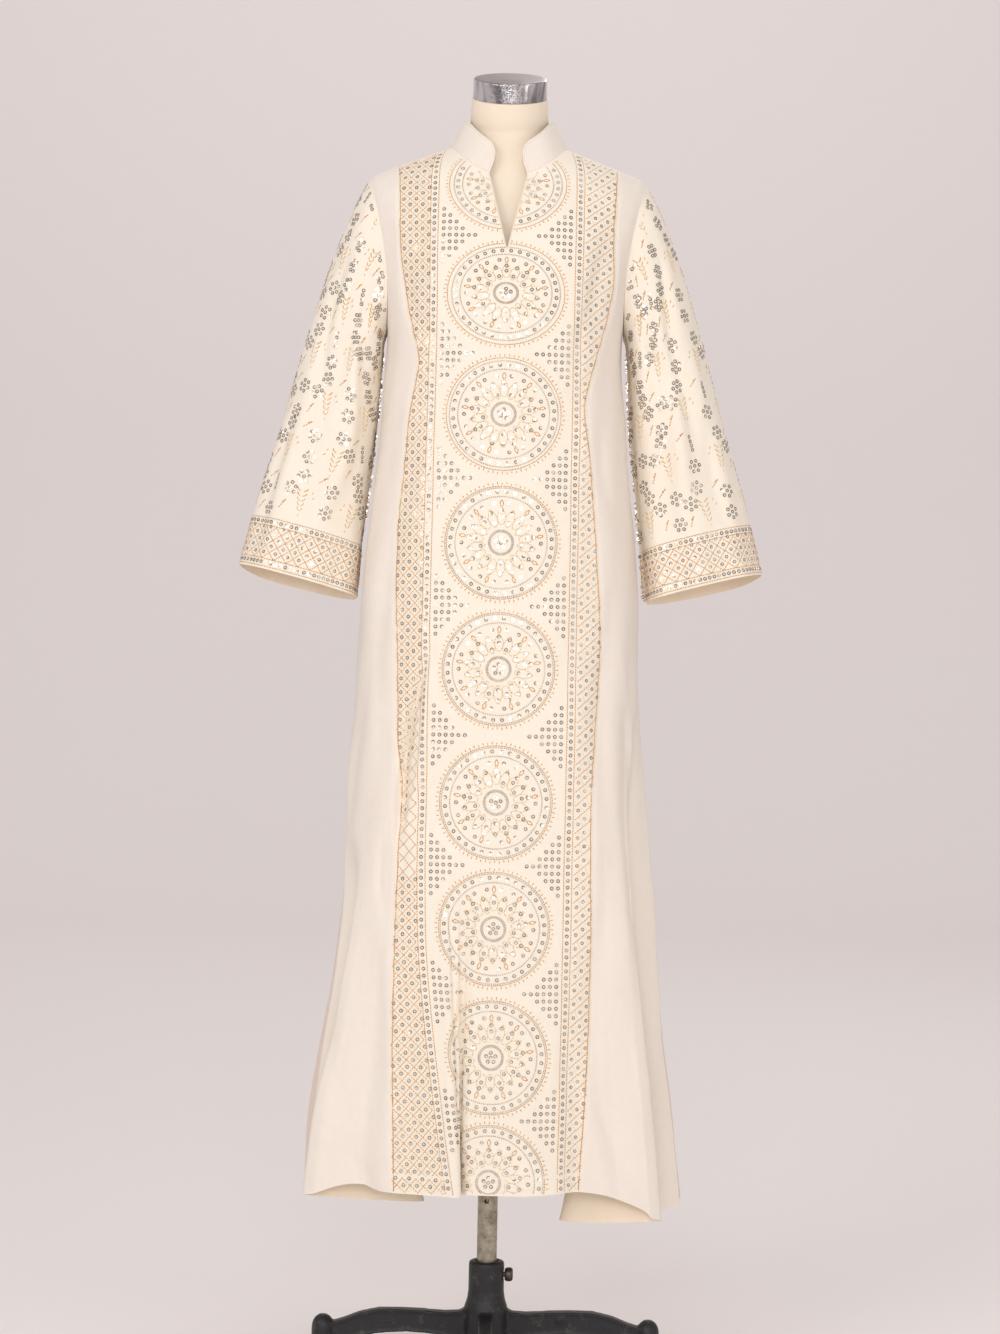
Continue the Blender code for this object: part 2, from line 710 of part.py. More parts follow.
def collar_faces(ring):
    """A band that stands on the neckline and leans in to the neck, with round front ends."""
    lengths = np.cumsum([0.0] + [np.linalg.norm(b - a) for a, b in zip(ring[:-1], ring[1:])])
    rows = [[] for _ in COLLAR_SHARES]
    for point, passed in zip(ring, lengths):
        to_end = min(passed, lengths[-1] - passed)
        round_share = min(to_end / COLLAR_END_ROUND, 1.0)
        rise = COLLAR_END_SHARE + (1 - COLLAR_END_SHARE) * math.sqrt(1 - (1 - round_share) ** 2)
        height = COLLAR_HEIGHT * rise
        front = min(max(-point[1] / COLLAR_FRONT_Y, 0.0), 1.0)
        out = abs(point[0]) / NECK_POINT_X
        lean_x = -math.copysign(COLLAR_LEAN_SIDE * out + COLLAR_LEAN_FRONT * front * (1 - out), point[0])
        lean_y = COLLAR_LEAN_FRONT * front - COLLAR_LEAN_BACK * max(point[1], 0.0)
        lean = unit(np.array((lean_x, lean_y, 1.0)))
        for row, share in zip(rows, COLLAR_SHARES):
            row.append(point + lean * height * share)
    return quads_of(rows, 0, len(ring) - 1, True)


def share_normals(edge, panel_edge, normals, panel_normals):
    """Neighbours that meet at a soft angle get one direction of thickness at their shared edge."""
    for own_point, panel_point in zip(edge, panel_edge):
        own = unit(normals[key_of(own_point)])
        other = unit(panel_normals[key_of(panel_point)])
        if float(np.dot(own, other)) > 0.0:
            normals[key_of(own_point)] = own + other
            panel_normals[key_of(panel_point)] = own + other


def build_cloth():
    normals = {}
    grids, panels = build_body(normals)
    neckline = neckline_ring(grids)
    collar = collar_faces(neckline)
    collar_normals = {}
    add_normals(collar, collar_normals)
    share_normals(neckline, neckline, collar_normals, normals)
    cloth_object("collar", collar, collar_normals, IVORY)
    for side, word in ((-1, "left"), (1, "right")):
        armhole = armhole_ring(grids, side)
        faces, rows = sleeve_faces(armhole, side)
        sleeve_normals = {}
        add_normals(faces, sleeve_normals)
        share_normals(rows[0], armhole, sleeve_normals, normals)
        cloth_object("sleeve_" + word, faces, sleeve_normals, EMBROIDERED)
    for name, faces in panels.items():
        cloth_object(name, faces, normals, EMBROIDERED if name == "front_centre_panel" else IVORY)


def ring_points(half, front, back, squareness, count):
    """A level ring of the torso, from centre front towards +X."""
    ring = []
    for step in range(count):
        turn = 2 * math.pi * step / count
        sine, cosine = math.sin(turn), math.cos(turn)
        power = 2 / squareness
        depth = front if cosine > 0 else back
        ring.append((half * math.copysign(abs(sine) ** power, sine),
                     -depth * math.copysign(abs(cosine) ** power, cosine)))
    return ring


def inside_cloth(ring, z):
    """The same ring, drawn in where it would come too near the cloth."""
    held = []
    for x, y in ring:
        angle = angle_across(abs(x), 1, z)
        cloth_y = base_point(angle if y < 0 else 180 - angle, z)[1]
        near = min(max(1 - (ridge_z(abs(x)) - z) / RIDGE_ROUND, 0.0), 1.0)
        share = TORSO_SHARE + near * (TORSO_RIDGE_SHARE - TORSO_SHARE)
        limit = share * max(abs(cloth_y) - WALL, 0.0)
        open_neck = y < 0 and abs(x) < NECK_POINT_X and z > NECK_CUT.at("front", abs(x))
        held.append((x, y if open_neck else math.copysign(min(abs(y), limit), y), z))
    return held


def build_torso():
    """Closed limbless torso with a neck, lofted through level rings that tilt with the neck."""
    count = TORSO_COLUMNS_ROUND
    drop = (WALL + SEAT_GAP) * math.hypot(1.0, RIDGE_SLOPE)
    rings = []
    for z, half, front, back, squareness in TORSO:
        rings.append(inside_cloth(ring_points(half, front, back, squareness, count), z))
    for z, front, back in zip(TORSO_RIDGE_LEVELS, TORSO_RIDGE_FRONT, TORSO_RIDGE_BACK):
        half = (RIDGE_TOP - drop - z) / RIDGE_SLOPE
        rings.append(inside_cloth(ring_points(half, front, back, 2.0, count), z))
    for centre_y, centre_z, across, deep, tilt in NECK:
        slope = math.tan(math.radians(tilt))
        rings.append([(x, centre_y + y, centre_z + y * slope)
                      for x, y in ring_points(across, deep, deep, 2.0, count)])
    points = [point for ring in rings for point in ring]
    faces = [tuple(reversed(range(count)))]
    for level in range(len(rings) - 1):
        low, high = level * count, (level + 1) * count
        for i in range(count):
            j = (i + 1) % count
            faces.append((low + i, low + j, high + j, high + i))
    top = (len(rings) - 1) * count
    faces.append(tuple(range(top, top + count)))
    torso = add_mesh("form_torso", points, faces, FORM_CLOTH, roughness=0.8)
    socket = turned("pole_socket_cut", ((POLE_RADIUS + FIT_GAP, POLE_TOP_Z + FIT_GAP),
                                        (POLE_RADIUS + FIT_GAP, 0.90)), 24, cutters)
    cut(torso, socket)


def turned(name, profile, steps, collection):
    """A solid turned about the Z axis from radius and height pairs, top to bottom."""
    mesh = bpy.data.meshes.new(name)
    points = [(0.0, 0.0, profile[0][1])] + [(radius, 0.0, z) for radius, z in profile]
    points.append((0.0, 0.0, profile[-1][1]))
    mesh.from_pydata(points, [(i, i + 1) for i in range(len(points) - 1)], [])
    made = bpy.data.objects.new(name, mesh)
    collection.objects.link(made)
    screw = made.modifiers.new("Turn", "SCREW")
    screw.steps = steps
    screw.render_steps = steps
    screw.use_merge_vertices = True
    screw.merge_threshold = 0.0001
    screw.use_smooth_shade = True
    if collection is cutters:
        hide_cutter(made)
    return made


def hide_cutter(made):
    made.hide_render = True
    made.display_type = "WIRE"


def boolean(target, other, operation):
    modifier = target.modifiers.new(other.name, "BOOLEAN")
    modifier.operation = operation
    modifier.solver = "EXACT"
    modifier.object = other


def cut(target, cutter):
    boolean(target, cutter, "DIFFERENCE")


def give_material(made, colour, roughness, metallic):
    made.data.materials.append(material(made.name, colour, roughness, metallic))


def build_cap():
    """Chrome cap on the tilted neck."""
    top, rim = CAP_HEIGHT, 0.0025
    profile = ((CAP_RADIUS - 2 * rim, top), (CAP_RADIUS - 0.3 * rim, top - 0.3 * rim),
               (CAP_RADIUS, top - rim), (CAP_RADIUS, FIT_GAP))
    cap = turned("neck_cap", profile, 48, parts)
    give_material(cap, CHROME, 0.12, 1.0)
    neck_y, neck_z = NECK[-1][0], NECK[-1][1]
    cap.location = (0.0, neck_y, neck_z)
    cap.rotation_euler = (math.radians(NECK_TILT_DEG), 0.0, 0.0)


def build_pole():
    """Pole with a small pin hole in its front."""
    profile = ((POLE_RADIUS - 0.001, POLE_TOP_Z), (POLE_RADIUS, POLE_TOP_Z - 0.001),
               (POLE_RADIUS, POLE_BOTTOM_Z + 0.001), (POLE_RADIUS - 0.001, POLE_BOTTOM_Z))
    pole = turned("pole", profile, 32, parts)
    give_material(pole, WORN_METAL, 0.45, 0.9)
    hole = turned("pin_hole_cut", ((0.0028, 0.010), (0.0028, -0.010)), 12, cutters)
    hole.location = (-0.0015, -POLE_RADIUS, PIN_HOLE_Z)
    hole.rotation_euler = (math.pi / 2, 0.0, 0.0)
    cut(pole, hole)


def arm_object(index):
    """One arched arm as an upright outline, from inside the hub to inside its foot."""
    count = len(ARM_OUTLINE)
    bm = bmesh.new()
    sides = []
    for y, inset in ARM_LAYERS:
        ring = []
        for i, (x, z) in enumerate(ARM_OUTLINE):
            before, after = ARM_OUTLINE[i - 1], ARM_OUTLINE[(i + 1) % count]
            step = Vector((after[0] - before[0], after[1] - before[1])).normalized()
            ring.append(bm.verts.new((x + step.y * inset, y, z - step.x * inset)))
        sides.append(ring)
    for first, second in zip(sides[:-1], sides[1:]):
        for i in range(count):
            j = (i + 1) % count
            bm.faces.new((first[i], first[j], second[j], second[i]))
    bm.faces.new(sides[0][::-1])
    bm.faces.new(sides[-1])
    bmesh.ops.recalc_face_normals(bm, faces=bm.faces)
    mesh = bpy.data.meshes.new("arm")
    bm.to_mesh(mesh)
    bm.free()
    mesh.transform(Matrix.Rotation(math.radians(90 * index), 4, "Z"))
    made = bpy.data.objects.new("arm_piece_%d" % index, mesh)
    cutters.objects.link(made)
    hide_cutter(made)
    return made


def build_base():
    """Cast hub, four arched arms and four round feet, joined into one casting."""
    hub_profile = ((HUB_RADIUS - 0.0045, HUB_TOP_Z), (HUB_RADIUS - 0.0010, HUB_TOP_Z - 0.0010),
                   (HUB_RADIUS, HUB_TOP_Z - 0.0040), (HUB_RADIUS, 0.112), (HUB_RADIUS + 0.0015, 0.100),
                   (HUB_RADIUS + 0.0050, 0.090), (HUB_RADIUS + 0.0060, 0.060), (HUB_RADIUS + 0.0030, 0.042))
    hub = turned("base_casting", hub_profile, 32, parts)
    give_material(hub, CAST_IRON, 0.55, 0.6)
    for index in range(4):
        boolean(hub, arm_object(index), "UNION")
        foot_profile = [(FOOT_RADIUS * math.sin(math.radians(turn)),
                         FOOT_TOP_Z - FOOT_RADIUS * 1.15 * (1 - math.cos(math.radians(turn))))
                        for turn in (22, 45, 68, 90)]
        foot_profile += [(FOOT_RADIUS, 0.006), (FOOT_RADIUS + 0.002, 0.003), (FOOT_RADIUS + 0.002, 0.0)]
        foot = turned("foot_piece_%d" % index, foot_profile, 16, cutters)
        turn = math.radians(90 * index)
        foot.location = (ARM_REACH * math.cos(turn), ARM_REACH * math.sin(turn), 0.0)
        boolean(hub, foot, "UNION")
    bore_radius = POLE_RADIUS + BORE_GAP
    bore = turned("hub_bore_cut", ((bore_radius + 0.002, HUB_TOP_Z + 0.01),
                                   (bore_radius + 0.002, HUB_TOP_Z - 0.004),
                                   (bore_radius, HUB_TOP_Z - 0.007), (bore_radius, 0.030)), 32, cutters)
    cut(hub, bore)
    hole_radius = SCREW_STEM_RADIUS + FIT_GAP
    thread = turned("screw_hole_cut", ((hole_radius, 2 * HUB_RADIUS), (hole_radius, 0.0)), 16, cutters)
    thread.location = (0.0, 0.0, SCREW_Z)
    thread.rotation_euler = (0.0, math.pi / 2, 0.0)
    cut(hub, thread)


def build_set_screw():
    """Round-headed set screw that clamps the pole."""
    stem_in, head_in, head_out = POLE_RADIUS + FIT_GAP, HUB_RADIUS + FIT_GAP, HUB_RADIUS + 0.0120
    profile = ((SCREW_HEAD_RADIUS - 0.0023, head_out), (SCREW_HEAD_RADIUS - 0.0003, head_out - 0.0020),
               (SCREW_HEAD_RADIUS, head_out - 0.0060), (SCREW_HEAD_RADIUS - 0.0013, head_in + 0.0020),
               (SCREW_STEM_RADIUS + 0.0015, head_in + 0.0004), (SCREW_STEM_RADIUS, head_in),
               (SCREW_STEM_RADIUS, stem_in + 0.0008), (SCREW_STEM_RADIUS - 0.0008, stem_in))
    screw = turned("set_screw", profile, 20, parts)
    give_material(screw, WORN_METAL, 0.5, 0.9)
    screw.location = (0.0, 0.0, SCREW_Z)
    screw.rotation_euler = (0.0, math.pi / 2, 0.0)


for old in list(bpy.data.objects):
    bpy.data.objects.remove(old, do_unlink=True)
parts = bpy.data.collections.new(OBJECT_NAME)
cutters = bpy.data.collections.new("cutters")
bpy.context.scene.collection.children.link(parts)
bpy.context.scene.collection.children.link(cutters)
build_cloth()
build_torso()
build_cap()
build_pole()
build_base()
build_set_screw()
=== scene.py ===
"""Maxi dress with bell sleeves, worn by a limbless dress form: finished pieces and materials.

Metres, +Z up, the front faces -Y. Each cloth piece is a thin shell on its solid's own form, worked out from
the same named sections, with finer rows and the smaller creases. The embroidery is laid out flat, across and
along the cloth, and is then set on its surface, so that folds hide and turn it.
"""
import json
import math

import bpy
import numpy as np
from mathutils import Matrix, Vector

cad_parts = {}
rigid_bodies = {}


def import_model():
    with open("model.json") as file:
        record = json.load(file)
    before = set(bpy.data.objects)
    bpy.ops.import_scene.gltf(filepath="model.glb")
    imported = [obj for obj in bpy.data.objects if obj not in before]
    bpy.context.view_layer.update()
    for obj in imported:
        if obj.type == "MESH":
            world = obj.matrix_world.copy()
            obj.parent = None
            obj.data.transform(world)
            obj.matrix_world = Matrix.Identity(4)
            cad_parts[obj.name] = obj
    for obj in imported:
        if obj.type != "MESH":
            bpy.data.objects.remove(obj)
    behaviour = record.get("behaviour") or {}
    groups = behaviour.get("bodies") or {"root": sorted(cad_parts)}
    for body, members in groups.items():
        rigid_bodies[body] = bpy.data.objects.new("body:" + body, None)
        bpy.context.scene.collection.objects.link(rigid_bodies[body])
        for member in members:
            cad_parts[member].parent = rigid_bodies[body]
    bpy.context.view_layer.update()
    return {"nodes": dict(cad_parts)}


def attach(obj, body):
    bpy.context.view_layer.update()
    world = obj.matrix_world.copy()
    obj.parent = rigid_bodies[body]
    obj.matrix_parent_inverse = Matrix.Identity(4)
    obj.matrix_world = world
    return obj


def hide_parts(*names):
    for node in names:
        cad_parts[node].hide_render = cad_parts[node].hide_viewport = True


for old in list(bpy.data.objects):
    bpy.data.objects.remove(old, do_unlink=True)
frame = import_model()


def smooth(knots, values, at):
    """Smooth curve through a table's values, with slopes taken from the neighbours."""
    at = np.clip(np.asarray(at, dtype=float), knots[0], knots[-1])
    i = np.clip(np.searchsorted(knots, at, side="right") - 1, 0, len(knots) - 2)
    steps = np.diff(knots)
    rises = np.diff(values) / steps
    slopes = np.empty(len(knots))
    slopes[0] = rises[0]
    slopes[-1] = rises[-1]
    slopes[1:-1] = (rises[:-1] * steps[1:] + rises[1:] * steps[:-1]) / (steps[:-1] + steps[1:])
    h = steps[i]
    t = (at - knots[i]) / h
    start = (1 + 2 * t) * (1 - t) ** 2 * values[i] + t * (1 - t) ** 2 * h * slopes[i]
    end = t * t * (3 - 2 * t) * values[i + 1] + t * t * (t - 1) * h * slopes[i + 1]
    return start + end


class Table:
    """A short table with named columns, read as smooth curves over its first column."""

    def __init__(self, names, *rows):
        columns = np.ascontiguousarray(np.transpose(rows), dtype=float)
        self.knots = columns[0]
        self.values = dict(zip(names.split()[1:], columns[1:]))

    def at(self, name, where):
        return smooth(self.knots, self.values[name], where)

    def all_at(self, where):
        """Every column's value there."""
        return {name: self.at(name, where) for name in self.values}


def named_rows(names, *rows):
    """Rows of a table, each with its columns by name."""
    return [dict(zip(names.split(), row)) for row in rows]


# The solids' own sizes
UNDERARM_Z = 1.447
UNDERARM_CLEARANCE = 0.0008
ARM_CLEAR_Z = 1.52
RIDGE_TOP = 1.7395
RIDGE_SLOPE = 0.379
RIDGE_ROUND = 0.050
SHOULDER_END_X = 0.181
SHOULDER_END_REACH = 0.012
SHOULDER_END_DROP = 0.0045
NECK_POINT_X = 0.082
SLIT_APEX_Z = 1.552
SLIT_TOP_Z = 1.662
SLIT_HALF_WIDTH = 0.026
COLLAR_HEIGHT = 0.045
COLLAR_END_ROUND = 0.022
COLLAR_END_SHARE = 0.42
COLLAR_LEAN_SIDE = 0.49
COLLAR_LEAN_FRONT = 0.26
COLLAR_LEAN_BACK = 2.7
COLLAR_FRONT_Y = 0.070
CLOTH_WALL = 0.0014
COLLAR_WALL = 0.0016
TORSO_SHARE = 0.86
TORSO_RIDGE_SHARE = 0.22
TORSO_COLUMNS_ROUND = 112
NECK_ROOT_ROW = 66
NECK_ROOT_ROUNDS = 14
NECK_TILT_DEG = 20.5
CAP_RADIUS = 0.0513
CAP_HEIGHT = 0.0275
CAP_EDGE = 0.0030
POLE_RADIUS = 0.014
POLE_BOTTOM_Z = 0.065
POLE_TOP_Z = 0.985
PIN_HOLE_Z = 0.238
PIN_HOLE_X = -0.0015
PIN_HOLE_RADIUS = 0.0028
PIN_HOLE_DEPTH = 0.006
HUB_RADIUS = 0.025
HUB_BORE_REACH = 0.0162
HUB_BORE_FLOOR_Z = 0.032
CAST_VOXEL = 0.0023
CAST_LUMP = (0.104, -0.010, 0.074)
CAST_LUMP_REACH = (0.008, 0.010, 0.006)
CAST_LUMP_HEIGHT = 0.0022
SCREW_Z = 0.134
SCREW_HEAD_RADIUS = 0.0098
SCREW_HEAD_LENGTH = 0.0120
SCREW_SLOT_HALF = 0.0010
SCREW_SLOT_DEPTH = 0.0022
SCREW_STEM_RADIUS = 0.0040
FIT_GAP = 0.0003
SOLIDS_WALL = 0.0016
LEFT_RIGHT = ((-1, "left"), (1, "right"))

SECTION = Table(
    "z half_left half_right front back squareness",
    (0.240, 0.2500, 0.2680, 0.160, 0.165, 2.20),
    (0.380, 0.2440, 0.2520, 0.156, 0.160, 2.20),
    (0.470, 0.2320, 0.2390, 0.153, 0.157, 2.22),
    (0.560, 0.2200, 0.2310, 0.151, 0.154, 2.25),
    (0.660, 0.2110, 0.2240, 0.149, 0.151, 2.27),
    (0.790, 0.2080, 0.2110, 0.146, 0.147, 2.30),
    (0.930, 0.2000, 0.1980, 0.144, 0.143, 2.35),
    (1.070, 0.1940, 0.1930, 0.141, 0.137, 2.40),
    (1.160, 0.1870, 0.1860, 0.138, 0.128, 2.42),
    (1.240, 0.1780, 0.1770, 0.135, 0.118, 2.45),
    (1.320, 0.1700, 0.1700, 0.133, 0.111, 2.50),
    (1.390, 0.1660, 0.1640, 0.134, 0.108, 2.50),
    (1.447, 0.1650, 0.1640, 0.136, 0.111, 2.50),
    (1.500, 0.1720, 0.1710, 0.134, 0.115, 2.42),
    (1.560, 0.1850, 0.1845, 0.122, 0.118, 2.32),
    (1.610, 0.2000, 0.2000, 0.105, 0.115, 2.22),
    (1.660, 0.2100, 0.2100, 0.078, 0.100, 2.10),
    (1.710, 0.2150, 0.2150, 0.056, 0.084, 2.00),
    (1.760, 0.2150, 0.2150, 0.050, 0.076, 2.00)
)
PRINCESS = Table(
    "z left right back",
    (0.240, 0.1270, 0.1290, 0.150),
    (0.560, 0.1350, 0.1375, 0.145),
    (0.800, 0.1360, 0.1330, 0.140),
    (1.000, 0.1420, 0.1420, 0.136),
    (1.160, 0.1450, 0.1320, 0.130),
    (1.260, 0.1365, 0.1230, 0.126),
    (1.345, 0.1280, 0.1140, 0.122),
    (1.405, 0.1200, 0.1270, 0.122),
    (1.447, 0.1300, 0.1380, 0.126),
    (1.490, 0.1400, 0.1460, 0.134),
    (1.600, 0.1500, 0.1510, 0.148),
    (1.680, 0.1545, 0.1545, 0.1545),
    (1.740, 0.1545, 0.1545, 0.1545)
)
ARM = Table(
    "z across",
    (1.447, 0.1645),
    (1.498, 0.1635),
    (1.570, 0.1715),
    (1.614, 0.1805),
    (1.666, 0.1930),
    (1.720, 0.2010)
)
NECK_CUT = Table(
    "across front back",
    (0.000, 1.6580, 1.7220),
    (0.026, 1.6620, 1.7150),
    (0.045, 1.6710, 1.7118),
    (0.062, 1.6850, 1.7097),
    (0.075, 1.7000, 1.7088),
    (0.082, 1.7084, 1.7084)
)
HEM = Table(
    "angle z",
    (-180, 0.236),
    (-125, 0.240),
    (-90, 0.243),
    (-72, 0.246),
    (-60, 0.256),
    (-51, 0.266),
    (-43, 0.279),
    (-36, 0.2745),
    (-28, 0.2725),
    (0, 0.2735),
    (38, 0.268),
    (54, 0.238),
    (72, 0.224),
    (86, 0.232),
    (102, 0.243),
    (130, 0.241),
    (180, 0.236)
)
PLEATS = named_rows(
    "side start end tip tip_y turn turn_y roll top_z growth",
    (1, 40, 88, 0.238, -0.103, 0.100, -0.062, 0.011, 0.930, 1.15),
    (-1, 41, 88, 0.254, -0.096, 0.090, -0.056, 0.011, 0.760, 1.10),
    (-1, 24, 5, 0.036, -0.166, 0.044, -0.150, 0.006, 0.760, 1.00)
)
PLEAT_SHARES = (0.0, 0.17, 0.30, 0.36, 0.42, 0.54, 0.65, 0.71, 0.77, 0.88, 1.0)
FLUTES = named_rows(
    "angle half_width depth top_z",
    (12, 14, 0.010, 0.700),
    (27, 10, -0.009, 0.620),
    (-30, 12, 0.008, 0.800),
    (104, 13, 0.010, 0.950),
    (123, 12, -0.024, 0.820),
    (143, 13, 0.026, 0.900),
    (163, 11, -0.018, 0.760),
    (-178, 12, 0.022, 0.960),
    (-160, 12, -0.022, 0.860),
    (-139, 13, 0.026, 0.930),
    (-119, 11, -0.020, 0.740),
    (-101, 12, 0.016, 0.880)
)
SLEEVE_CUT = Table(
    "share outer outer_z inner inner_z front back front_lift",
    (0.00, 0.1930, 1.6619, 0.1645, 1.4470, 0.058, 0.058, 0.000),
    (0.07, 0.2080, 1.6365, 0.1680, 1.4340, 0.058, 0.060, 0.000),
    (0.18, 0.2300, 1.5830, 0.1710, 1.4000, 0.056, 0.060, 0.000),
    (0.34, 0.2590, 1.4970, 0.1745, 1.3520, 0.053, 0.058, 0.000),
    (0.52, 0.2900, 1.3900, 0.1805, 1.2850, 0.050, 0.056, 0.002),
    (0.70, 0.3190, 1.2870, 0.1880, 1.2120, 0.049, 0.056, 0.004),
    (0.86, 0.3450, 1.1980, 0.1945, 1.1420, 0.050, 0.057, 0.007),
    (1.00, 0.3660, 1.1200, 0.2000, 1.0770, 0.052, 0.058, 0.010)
)
SLEEVE_FOLDS = named_rows(
    "side turn half_width depth from_share",
    (-1, 55, 24, 0.006, 0.10),
    (-1, 100, 26, -0.008, 0.15),
    (-1, 145, 20, 0.006, 0.25),
    (-1, 230, 26, 0.007, 0.20),
    (-1, 290, 24, -0.007, 0.30),
    (1, 48, 22, 0.006, 0.15),
    (1, 92, 24, -0.008, 0.10),
    (1, 138, 22, 0.007, 0.20),
    (1, 238, 26, 0.007, 0.25),
    (1, 296, 24, -0.007, 0.20)
)
TORSO_CUT = Table(
    "z half front back squareness",
    (0.930, 0.138, 0.094, 0.094, 2.3),
    (0.938, 0.150, 0.106, 0.106, 2.3),
    (0.990, 0.161, 0.116, 0.117, 2.3),
    (1.060, 0.166, 0.121, 0.121, 2.3),
    (1.130, 0.162, 0.117, 0.116, 2.3),
    (1.210, 0.146, 0.107, 0.103, 2.3),
    (1.290, 0.130, 0.100, 0.091, 2.3),
    (1.350, 0.131, 0.105, 0.090, 2.3),
    (1.410, 0.141, 0.116, 0.095, 2.3),
    (1.470, 0.150, 0.123, 0.101, 2.3),
    (1.520, 0.156, 0.117, 0.105, 2.3),
    (1.580, 0.166, 0.100, 0.105, 2.2),
    (1.630, 0.176, 0.081, 0.098, 2.1),
    (1.658, 0.180, 0.069, 0.086, 2.0),
    (1.669, 0.1800, 0.062, 0.080, 2.0),
    (1.677, 0.1590, 0.058, 0.074, 2.0),
    (1.685, 0.1379, 0.054, 0.069, 2.0),
    (1.693, 0.1168, 0.051, 0.064, 2.0),
    (1.701, 0.0957, 0.049, 0.060, 2.0)
)
NECK_RINGS = Table(
    "step y z across deep tilt",
    (0, 0.0010, 1.7090, 0.0620, 0.0530, 6.0),
    (1, 0.0010, 1.7210, 0.0590, 0.0530, 11.0),
    (2, 0.0005, 1.7360, 0.0560, 0.0530, 16.0),
    (3, -0.0070, 1.7530, 0.0540, 0.0530, 19.0),
    (4, -0.0165, 1.7770, 0.0525, 0.0525, 20.5)
)

# Soft creases of the body: across from centre front and height of one end, the same of the other end,
# half width and depth
BODY_CREASES = (
    (-0.084, 1.040, -0.128, 0.705, 0.0080, -0.0105),
    (-0.100, 1.030, -0.144, 0.700, 0.0058, 0.0065),
    (-0.096, 1.000, -0.135, 0.715, 0.0036, -0.0050),
    (-0.158, 0.750, -0.156, 0.640, 0.006, -0.0030),
    (-0.150, 1.180, -0.158, 0.820, 0.014, -0.0030),
    (-0.205, 0.980, -0.232, 0.300, 0.020, -0.0050),
    (-0.178, 0.760, -0.190, 0.260, 0.016, 0.0040),
    (-0.262, 0.900, -0.300, 0.420, 0.018, 0.0045),
    (-0.240, 0.330, -0.200, 0.250, 0.012, -0.0030),
    (-0.118, 1.470, -0.085, 1.400, 0.010, -0.0020),
    (-0.150, 1.560, -0.128, 1.440, 0.012, -0.0028),
    (-0.170, 1.640, -0.150, 1.520, 0.014, 0.0022),
    (-0.055, 1.250, 0.060, 1.238, 0.013, -0.0016),
    (-0.070, 1.075, 0.050, 1.060, 0.012, -0.0014),
    (0.000, 0.905, 0.090, 0.880, 0.014, 0.0018),
    (-0.020, 0.720, 0.100, 0.705, 0.013, -0.0016),
    (0.152, 1.600, 0.128, 1.430, 0.013, -0.0030),
    (0.175, 1.560, 0.150, 1.420, 0.014, 0.0026),
    (0.120, 1.480, 0.098, 1.380, 0.010, -0.0024),
    (0.140, 1.330, 0.170, 1.180, 0.012, -0.0026),
    (0.165, 1.100, 0.176, 0.700, 0.015, -0.0034),
    (0.182, 1.000, 0.240, 0.420, 0.010, 0.0060),
    (0.208, 1.000, 0.266, 0.430, 0.015, -0.0080),
    (0.158, 0.700, 0.182, 0.280, 0.013, -0.0046),
    (0.150, 0.420, 0.230, 0.270, 0.014, -0.0050),
    (0.250, 1.000, 0.272, 0.560, 0.018, -0.0040),
    (0.075, 0.560, 0.092, 0.290, 0.012, -0.0028),
    (-0.030, 0.480, -0.050, 0.300, 0.010, 0.0020),
    (0.330, 1.250, 0.345, 0.820, 0.022, -0.0050),
    (-0.330, 1.280, -0.350, 0.860, 0.022, -0.0050),
    (0.400, 1.480, 0.350, 1.300, 0.020, -0.0040),
    (-0.400, 1.480, -0.352, 1.310, 0.020, -0.0038),
    (0.440, 1.620, 0.420, 1.440, 0.018, 0.0030),
    (-0.445, 1.625, -0.428, 1.450, 0.017, 0.0030),
    (0.420, 1.230, 0.520, 1.205, 0.016, -0.0026),
    (-0.500, 1.180, -0.410, 1.150, 0.015, -0.0024),
    (0.470, 1.100, 0.455, 0.700, 0.020, 0.0050),
    (-0.460, 1.060, -0.470, 0.640, 0.021, -0.0050),
    (0.395, 0.980, 0.400, 0.560, 0.018, -0.0046),
    (-0.390, 1.000, -0.405, 0.620, 0.018, 0.0042),
)

# Creases of the sleeves, in the same columns: across from the outer edge (front negative on the left
# sleeve, positive on the right), and up from the cuff's hem
SLEEVE_CREASES = {
    -1: (
        (-0.150, 0.520, -0.120, 0.330, 0.012, -0.0030),
        (-0.095, 0.500, -0.100, 0.180, 0.013, 0.0030),
        (-0.120, 0.400, -0.060, 0.300, 0.010, -0.0026),
        (-0.170, 0.350, -0.110, 0.240, 0.011, -0.0030),
        (-0.050, 0.330, -0.040, 0.080, 0.012, 0.0026),
        (-0.125, 0.210, -0.135, 0.010, 0.013, -0.0034),
        (-0.030, 0.560, -0.070, 0.450, 0.012, -0.0022),
        (0.060, 0.480, 0.085, 0.220, 0.013, -0.0034),
        (0.110, 0.420, 0.120, 0.060, 0.014, 0.0034),
        (0.150, 0.380, 0.095, 0.290, 0.011, -0.0028),
        (0.040, 0.240, 0.050, 0.010, 0.012, -0.0026),
    ),
    1: (
        (0.145, 0.510, 0.125, 0.300, 0.012, -0.0030),
        (0.085, 0.520, 0.095, 0.220, 0.013, 0.0028),
        (0.130, 0.380, 0.070, 0.290, 0.010, -0.0028),
        (0.165, 0.300, 0.115, 0.200, 0.011, -0.0028),
        (0.055, 0.300, 0.040, 0.070, 0.012, 0.0028),
        (0.115, 0.190, 0.140, 0.010, 0.013, -0.0034),
        (0.030, 0.540, 0.065, 0.440, 0.012, -0.0022),
        (-0.065, 0.470, -0.080, 0.210, 0.013, -0.0034),
        (-0.105, 0.400, -0.125, 0.070, 0.014, 0.0034),
        (-0.150, 0.360, -0.100, 0.280, 0.011, -0.0028),
        (-0.045, 0.250, -0.050, 0.010, 0.012, -0.0026),
    ),
}

